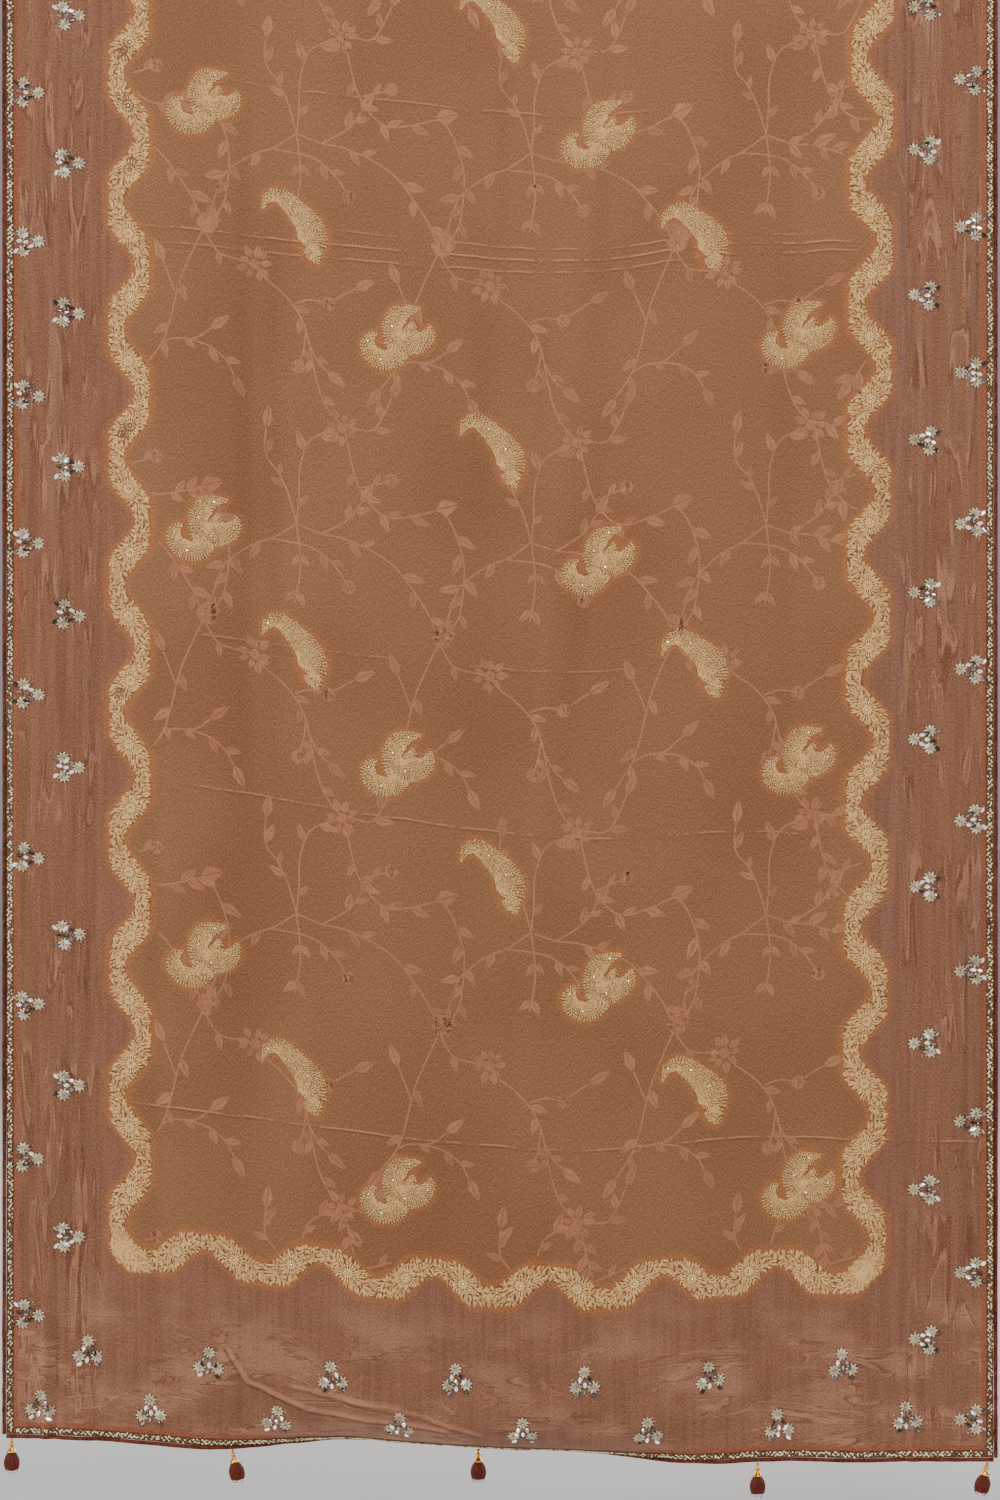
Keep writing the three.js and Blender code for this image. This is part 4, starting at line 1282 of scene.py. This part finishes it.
BEAD_FACES = ((0, 1, 4), (1, 2, 4), (2, 3, 4), (3, 0, 4), (1, 0, 5), (2, 1, 5), (3, 2, 5), (0, 3, 5))
for x, v, turn in zip(flower_u, flower_v, np.radians(flower_turn)):
    here = bool(on_front(v, x))
    turn = turn + np.radians(draw.uniform(-7, 7))
    for k in range(3):
        way = turn + math.radians(90 + 120 * k)
        fan_x = x + FAN_AT * math.cos(way) * draw.uniform(0.95, 1.06)
        fan_y = v + FAN_AT * math.sin(way) * draw.uniform(0.95, 1.06)
        fan_work[here].stamp(FAN, FAN_FACES, fan_x, fan_y, way, FAN_RADIUS, FAN_RADIUS, 0.0,
                             0.0003, ON_CLOTH + 0.0003)
        turns = way + 2 * np.pi * np.arange(FAN_PETALS) / FAN_PETALS
        petal_x = fan_x + 0.0008 * np.cos(turns)
        petal_y = fan_y + 0.0008 * np.sin(turns)
        tones = draw.uniform(0.5, 1.0, FAN_PETALS)
        fan_work[here].stamp(PETAL, PETAL_FACES, petal_x, petal_y, turns, FAN_RADIUS * 0.90,
                             PETAL_WIDE, tones, 0.0012, ON_CLOTH + 0.0006)
        bead_work[here].stamp(BEAD, BEAD_FACES, fan_x, fan_y, 0.3, FAN_BEAD, FAN_BEAD, 0.9,
                              FAN_BEAD, ON_CLOTH + 0.0017)
    for distance, way, point in MIRRORS:
        way = turn + math.radians(way)
        point = turn + math.radians(point + draw.uniform(-10, 10))
        mirror_x = x + distance * math.cos(way) - 0.5 * MIRROR_LONG * math.cos(point)
        mirror_y = v + distance * math.sin(way) - 0.5 * MIRROR_LONG * math.sin(point)
        # Each mirror's tone picks its painted reflection: dark, middling or bright.
        painted_glint = draw.choice([0.0, 0.45, 1.0], p=[0.28, 0.34, 0.38])
        tilt = draw.uniform(-0.00035, 0.00035) * np.array([row[0] - 0.5 for row in MIRROR])
        mirror_work[here].stamp(MIRROR, MIRROR_FACES, mirror_x, mirror_y, point, MIRROR_LONG,
                                MIRROR_WIDE, painted_glint, 0.0009, ON_CLOTH + 0.0011 + tilt)
    ring = turn + 2 * np.pi * np.arange(RING_BEADS) / RING_BEADS
    reach = np.where(np.arange(RING_BEADS) % 2, 0.0040, 0.0152)
    bead_work[here].stamp(
        BEAD, BEAD_FACES, x + reach * np.cos(ring), v + reach * np.sin(ring), ring, RING_BEAD,
        RING_BEAD, draw.uniform(0, 1, RING_BEADS), RING_BEAD, ON_CLOTH + 0.0009,
    )
silver = Finish("silver_thread", Metallic=0.45, Roughness=0.38)
tone = silver.attribute("tone")
silver_grain = silver.noise(1, 2, 0.6, silver.place((1500, 1500, 1500)))
between = (1 - silver_grain.rise(0.4, 0.56)) * 0.6
colour = silver.mix(tone.rise(0.0, 0.5), shade(72, 50, 38), shade(208, 190, 162))
colour = silver.mix(tone.rise(0.6, 1.0), colour, shade(232, 218, 192))
silver.set("Base Color", silver.mix(between, colour, shade(84, 62, 46)))
silver.bump(silver_grain, 0.0003)
mirror_glass = Finish("mirror_glass", Metallic=1.0, Roughness=0.06)
tone = mirror_glass.attribute("tone")
# The tone paints each mirror's reflection into its colour: a low tone makes a dark mirror, a high one
# a bright mirror.
mirror_glass.set("Base Color", mirror_glass.mix(tone, (0.16, 0.15, 0.14), (0.97, 0.98, 1.0)))
# A bright mirror glows a little: a painted reflection of the lamp that a real one reflects.
glow = tone.rise(0.5, 1.0)
mirror_glass.set("Emission Color", mirror_glass.mix(glow, (0, 0, 0), (0.62, 0.64, 0.66)))
mirror_glass.set("Emission Strength", 1.0)
bead_metal = Finish("bead_metal", Metallic=0.10, Roughness=0.25)
tone = bead_metal.attribute("tone")
colour = bead_metal.mix(tone.rise(0.0, 0.45), shade(150, 106, 66), shade(228, 196, 146))
bead_metal.set("Base Color", bead_metal.mix(tone.rise(0.5, 0.9), colour, shade(255, 238, 200)))
for here, part, cloth in ((True, "front", front), (False, "back", back)):
    fan_work[here].piece("fans_" + part, cloth, silver.material, "metal_lace")
    mirror_work[here].piece("mirrors_" + part, cloth, mirror_glass.material, "glass_beads")
    bead_work[here].piece("flower_beads_" + part, cloth, bead_metal.material, "glass_beads")


# The lace is a flat braid of gold and silver thread, 8 mm wide, with bright beads in a zigzag. It
# is sewn just inside the binding, down both sides and along the hem.
LACE_INSET = 0.0003
LACE_WIDE = 0.0080
LACE_ZIGZAG = 0.0064
LACE_SWING = 0.0027
LACE_BEAD = 0.00094
LACE_STEP = 0.0020
lace_metal = Finish("lace_braid", Metallic=0.2, Roughness=0.5)
braid = lace_metal.noise(1, 3, 0.6, lace_metal.place((700, 700, 700)))
colour = lace_metal.mix(braid.rise(0.40, 0.62), shade(74, 42, 30), shade(128, 88, 60))
lace_metal.set("Base Color", colour)
lace_metal.bump(braid, 0.0005)


def zigzag(along):
    share = along / LACE_ZIGZAG
    return 4 * np.abs(share - np.floor(share + 0.5)) - 1


def sew_lace(cloth, part, runs):
    """Each run is a name, the line's start and end on the cloth, and the part of the model that it
    replaces.
    """
    for name, start, end, node in runs:
        start = np.array(start)
        end = np.array(end)
        length = float(np.hypot(*(end - start)))
        ahead = (end - start) / length
        aside = np.array([-ahead[1], ahead[0]])
        count = max(2, round(length / 0.006))
        line = start + np.linspace(0, length, count)[:, None] * ahead
        strip = Needlework()
        strip.ribbon(line, LACE_WIDE / 2, ON_CLOTH + 0.0004, 0.5, 3)
        strip.piece("braid_" + name, cloth, lace_metal.material, "metal_lace", node)
        beads = Needlework()
        along = np.arange(LACE_STEP, length - LACE_STEP, LACE_STEP)
        for lane, swing in ((0, 1), (1, -1)):
            offset = swing * LACE_SWING * zigzag(along + lane * 0.0003)
            offset = offset + draw.uniform(-0.0003, 0.0003, len(along))
            spots = start + along[:, None] * ahead + offset[:, None] * aside
            bright = draw.uniform(0, 1, len(along)) < 0.55
            size = LACE_BEAD * np.where(bright, 1.35, 0.85) * draw.uniform(0.9, 1.1, len(along))
            turn = draw.uniform(0, 3, len(along))
            tones = np.where(bright, 1.0, draw.uniform(0, 0.4, len(along)))
            beads.stamp(BEAD, BEAD_FACES, spots[:, 0], spots[:, 1], turn, size, size, tones,
                        0.0010, ON_CLOTH + 0.0011)
        beads.piece("braid_beads_" + name, cloth, bead_metal.material, "metal_lace")


LACE_LINE = CLOTH_HALF - LACE_INSET - LACE_WIDE / 2
HEM_LINE = LACE_INSET + LACE_WIDE / 2
top_left = AT_ROD_TOP - float(bow(np.array(-CLOTH_HALF)))
top_right = AT_ROD_TOP - float(bow(np.array(CLOTH_HALF)))
sew_lace(front, "front", (
    ("left", (-LACE_LINE, 0.002), (-LACE_LINE, top_left), "lace_left"),
    ("right", (LACE_LINE, 0.002), (LACE_LINE, top_right), "lace_right"),
    ("hem", (-LACE_LINE + 0.006, HEM_LINE), (LACE_LINE - 0.006, HEM_LINE), "lace_hem"),
))
sew_lace(back, "back", (
    ("back_left", (-LACE_LINE, top_left), (-LACE_LINE, AT_TURN), "lace_back_left"),
    ("back_right", (LACE_LINE, top_right), (LACE_LINE, AT_TURN), "lace_back_right"),
))


# The edges are bound with a rolled strip of rust-brown silk, stitched through at a slant.
BINDING_SIDES = 10
MOST_SWELL = 1.04


def turn_outwards(piece):
    """Turns the faces of a closed piece outwards and smooths its shading."""
    bpy.context.view_layer.objects.active = piece
    piece.select_set(True)
    bpy.ops.object.mode_set(mode="EDIT")
    bpy.ops.mesh.select_all(action="SELECT")
    bpy.ops.mesh.normals_make_consistent(inside=False)
    bpy.ops.object.mode_set(mode="OBJECT")
    bpy.ops.object.shade_smooth()
    piece.select_set(False)


def binding_tube(name, centres, first, second, node):
    """A tube round a row of centres, from the two directions that each of its rings lies in."""
    count = len(centres)
    stations = np.arange(count)
    angles = 2 * np.pi * np.arange(BINDING_SIDES)[:, None] / BINDING_SIDES
    swell = 1 + 0.03 * np.sin(stations * 1.3) + 0.02 * np.sin(stations * 0.37)
    radius = BINDING_RADIUS * np.minimum(swell, MOST_SWELL)
    round_it = first[:, None] * np.cos(angles) + second[:, None] * np.sin(angles)
    rings = centres[:, None] + radius[:, None, None] * round_it
    faces = []
    for i in range(count - 1):
        for k in range(BINDING_SIDES):
            after = (k + 1) % BINDING_SIDES
            faces.append((i * BINDING_SIDES + k, i * BINDING_SIDES + after,
                          (i + 1) * BINDING_SIDES + after, (i + 1) * BINDING_SIDES + k))
    faces.append(tuple(reversed(range(BINDING_SIDES))))
    faces.append(tuple(range((count - 1) * BINDING_SIDES, count * BINDING_SIDES)))
    mesh = bpy.data.meshes.new(name)
    mesh.from_pydata(rings.reshape(-1, 3).tolist(), [], faces)
    mesh.materials.append(binding_silk.material)
    piece = bpy.data.objects.new(name, mesh)
    bpy.context.collection.objects.link(piece)
    turn_outwards(piece)
    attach(piece, "saree")
    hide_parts(node)


binding_silk = Finish("rust_binding", Roughness=0.7, Specular_IOR_Level=0.15)
slant = binding_silk.noise(1, 2, 0.5, binding_silk.place((500, 500, 260)))
patches = binding_silk.noise(30, 2)
colour = binding_silk.mix(slant.rise(0.36, 0.64), shade(82, 40, 26), shade(132, 72, 50))
colour = binding_silk.mix(patches.rise(0.4, 0.7) * 0.3, colour, shade(150, 88, 64))
binding_silk.set("Base Color", colour)
binding_silk.bump(slant, 0.0004)
BINDING_OUT = SEAM_GAP + BINDING_RADIUS
for cloth, part in ((front, ""), (back, "back_")):
    for name, side, edge in (("left", -1, 0), ("right", 1, -1)):
        edge_points = cloth.points[:, edge] + np.array([side * BINDING_OUT, 0, 0])
        outward = np.broadcast_to(np.array([1.0, 0, 0]), edge_points.shape)
        node = "binding_" + part + name
        binding_tube("bound_" + part + name, edge_points, cloth.normals[:, edge], outward, node)
hem_edge = front.points[0]
hem_above = front.points[1]
downward = hem_edge - hem_above
downward[:, 0] = 0
downward /= np.linalg.norm(downward, axis=1, keepdims=True)
hem_centres = hem_edge + downward * BINDING_OUT
binding_tube(
    "bound_hem", hem_centres, np.broadcast_to((0.0, 1.0, 0.0), hem_edge.shape),
    np.broadcast_to((0.0, 0.0, 1.0), hem_edge.shape), "binding_hem",
)


# Five drops swing from the hem's binding. Each has a gold bead, a gold bead cap, an oval wound
# with rust silk thread, and a rim of clear beads round its open foot with one bead below.
DROP_LEAN = {1: 0, 2: -11, 3: 0, 4: 0, 5: 13}
CAP_TOP = -(BINDING_RADIUS + 0.0006)
TOP_BEAD = 0.00195
NECK_BEAD = 0.0029
CAP_HEIGHT = 0.009
COLLAR = CAP_TOP - 2 * TOP_BEAD - 2 * NECK_BEAD
CAP_FOOT = COLLAR - CAP_HEIGHT
OVAL_TOP = CAP_FOOT + CAP_HEIGHT - 0.0012 - SEAM_GAP - 0.0025
OVAL_HEIGHT = 0.021
OVAL_FOOT = OVAL_TOP - OVAL_HEIGHT
WINDINGS = 26
SCALLOPS = 8
RIM_BEADS = 20
RIM_BEAD = 0.00112
RIM_LEVEL = OVAL_FOOT - SEAM_GAP - 0.0011
FOOT_BEAD = 0.0015


def turned(name, profile, steps):
    """A piece turned about the Z axis from a profile of radius and height, bottom to top."""
    mesh = bpy.data.meshes.new(name)
    points = [(radius, 0, height) for radius, height in profile]
    mesh.from_pydata(points, [(i, i + 1) for i in range(len(points) - 1)], [])
    piece = bpy.data.objects.new(name, mesh)
    bpy.context.collection.objects.link(piece)
    bpy.context.view_layer.objects.active = piece
    piece.select_set(True)
    lathe = piece.modifiers.new("lathe", "SCREW")
    lathe.axis = "Z"
    lathe.steps = steps
    lathe.render_steps = steps
    lathe.use_merge_vertices = True
    lathe.merge_threshold = 0.00002
    bpy.ops.object.modifier_apply(modifier=lathe.name)
    turn_outwards(piece)
    return piece


def arc_profile(middle, radius, start, end, count):
    angles = np.radians(np.linspace(start, end, count))
    return [(max(0.0, radius * math.cos(a)), middle + radius * math.sin(a)) for a in angles]


def swell_round(piece, factor):
    """Widens each point of a turned piece by what the factor gives for its place."""
    for vertex in piece.data.vertices:
        x, y, z = vertex.co
        share = factor(x, y, z)
        vertex.co.x = x * share
        vertex.co.y = y * share


def cap_scallop(x, y, z):
    if z < CAP_FOOT + 0.0062 and math.hypot(x, y) > 0.0040:
        return 1 + 0.07 * math.cos(SCALLOPS * math.atan2(y, x))
    return 1


def thread_groove(x, y, z):
    return 1 - 0.045 * (0.5 + 0.5 * math.cos(WINDINGS * math.atan2(y, x)))


def hang(piece, joint_place, lean, number, node, slot):
    """Leans a piece about the hinge, moves it there, and hangs it on its drop's body."""
    lean = math.radians(lean)
    for vertex in piece.data.vertices:
        x, y, z = vertex.co
        vertex.co = (
            joint_place[0] + x * math.cos(lean) + z * math.sin(lean),
            joint_place[1] + y,
            joint_place[2] - x * math.sin(lean) + z * math.cos(lean),
        )
    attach(piece, f"drop_{number}")
    if node:
        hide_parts(node)


gold = Finish("gold_metal", Metallic=1.0, Roughness=0.22)
gold_marks = gold.noise(1, 2, 0.5, gold.place((900, 900, 900)))
colour = gold.mix(gold_marks.rise(0.35, 0.65), shade(196, 138, 52), shade(240, 196, 96))
gold.set("Base Color", colour)
gold.bump(gold_marks, 0.0002)
wound_silk = Finish("wound_thread", Roughness=0.5, Specular_IOR_Level=0.2)
strands = wound_silk.noise(1, 3, 0.6, wound_silk.place((1600, 1600, 120)))
colour = wound_silk.mix(strands.rise(0.32, 0.68), shade(64, 24, 12), shade(136, 62, 36))
wound_silk.set("Base Color", colour)
wound_silk.bump(strands, 0.0005)
clear_bead = Finish("clear_bead", Metallic=0.7, Roughness=0.12)
colour = clear_bead.mix(clear_bead.noise(500, 1), (0.55, 0.5, 0.46), (1.0, 0.98, 0.94))
clear_bead.set("Base Color", colour)

for number, lean in DROP_LEAN.items():
    place = DROP_PLACES[number - 1]
    neck_middle = COLLAR + NECK_BEAD
    top_middle = CAP_TOP - TOP_BEAD
    profile = [(0, OVAL_TOP + 0.0004), (0.0030, OVAL_TOP + 0.0004), (0.0048, CAP_FOOT + 0.0034)]
    profile += [(0.0052, CAP_FOOT + 0.0033), (0.0053, CAP_FOOT + 0.0040), (0.0047, CAP_FOOT + 0.0047)]
    profile += [(0.0038, CAP_FOOT + 0.0060), (0.0029, CAP_FOOT + 0.0076), (0.0020, COLLAR - 0.0003)]
    profile += arc_profile(neck_middle, NECK_BEAD, -65, 65, 9)
    profile += arc_profile(top_middle, TOP_BEAD, -58, 90, 8)
    cap = turned(f"drop_{number}_gold", profile, 32)
    swell_round(cap, cap_scallop)
    cap.data.materials.append(gold.material)
    hang(cap, place, lean, number, f"drop_{number}_cap", "gold_metal")

    heights = np.linspace(0, 1, 15)
    half_widths = np.interp(
        heights, (0, 0.06, 0.18, 0.38, 0.60, 0.80, 0.93, 1.0),
        (0.0074, 0.0081, 0.0088, 0.0091, 0.0084, 0.0063, 0.0042, 0.0034),
    )
    profile = [(0, OVAL_FOOT + 0.0016), (0.0056, OVAL_FOOT + 0.0008)]
    profile += [(half, OVAL_FOOT + OVAL_HEIGHT * share) for half, share in zip(half_widths, heights)]
    profile += [(0, OVAL_TOP)]
    oval = turned(f"drop_{number}_silk", profile, 4 * WINDINGS)
    swell_round(oval, thread_groove)
    oval.data.materials.append(wound_silk.material)
    hang(oval, place, lean, number, f"drop_{number}_oval", "drop_thread")

    bpy.ops.object.select_all(action="DESELECT")
    beads = []
    for k in range(2 * RIM_BEADS + 1):
        angle = 2 * math.pi * (k + 0.5 * (k >= RIM_BEADS)) / RIM_BEADS
        ring = 0.0074 if k < RIM_BEADS else 0.0068
        level = RIM_LEVEL if k < RIM_BEADS else RIM_LEVEL - 0.0019
        centre = (ring * math.cos(angle), ring * math.sin(angle), level)
        radius = RIM_BEAD
        if k == 2 * RIM_BEADS:
            centre = (0.0040, -0.0030, RIM_LEVEL - 0.0034)
            radius = FOOT_BEAD
        bpy.ops.mesh.primitive_ico_sphere_add(subdivisions=1, radius=radius, location=centre)
        bpy.ops.object.transform_apply(location=True)
        bpy.ops.object.shade_smooth()
        beads.append(bpy.context.object)
    for bead in beads:
        bead.select_set(True)
    bpy.context.view_layer.objects.active = beads[0]
    bpy.ops.object.join()
    rim = bpy.context.object
    rim.name = f"drop_{number}_beads"
    rim.select_set(False)
    rim.data.materials.clear()
    rim.data.materials.append(clear_bead.material)
    hang(rim, place, lean, number, f"drop_{number}_rim", "glass_beads")


# The rod is a plain round dowel of oiled beech, 32 mm thick, with its end edges eased.
bpy.ops.object.select_all(action="DESELECT")
bpy.ops.mesh.primitive_cylinder_add(
    vertices=64, radius=ROD_RADIUS, depth=rod_high[0] - rod_low[0], rotation=(0, math.pi / 2, 0)
)
rod = bpy.context.object
rod.name = "rod_dowel"
bpy.ops.object.transform_apply(rotation=True)
end_edges = rod.modifiers.new("eased", "BEVEL")
end_edges.width = 0.0015
end_edges.segments = 3
end_edges.limit_method = "ANGLE"
bpy.ops.object.modifier_apply(modifier=end_edges.name)
bpy.ops.object.shade_smooth_by_angle(angle=math.radians(35))
beech = Finish("oiled_beech", Roughness=0.45, Coat_Weight=0.15, Coat_Roughness=0.3)
wood_grain = beech.noise(1, 4, 0.6, beech.place((6, 160, 160)))
flecks = beech.noise(1, 2, 0.5, beech.place((90, 700, 700)))
colour = beech.mix(wood_grain.rise(0.3, 0.7), shade(168, 122, 78), shade(204, 160, 112))
beech.set("Base Color", beech.mix(flecks.rise(0.60, 0.72) * 0.5, colour, shade(128, 84, 50)))
beech.bump(wood_grain, 0.0003)
rod.data.materials.append(beech.material)
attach(rod, "saree")
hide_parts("rod")
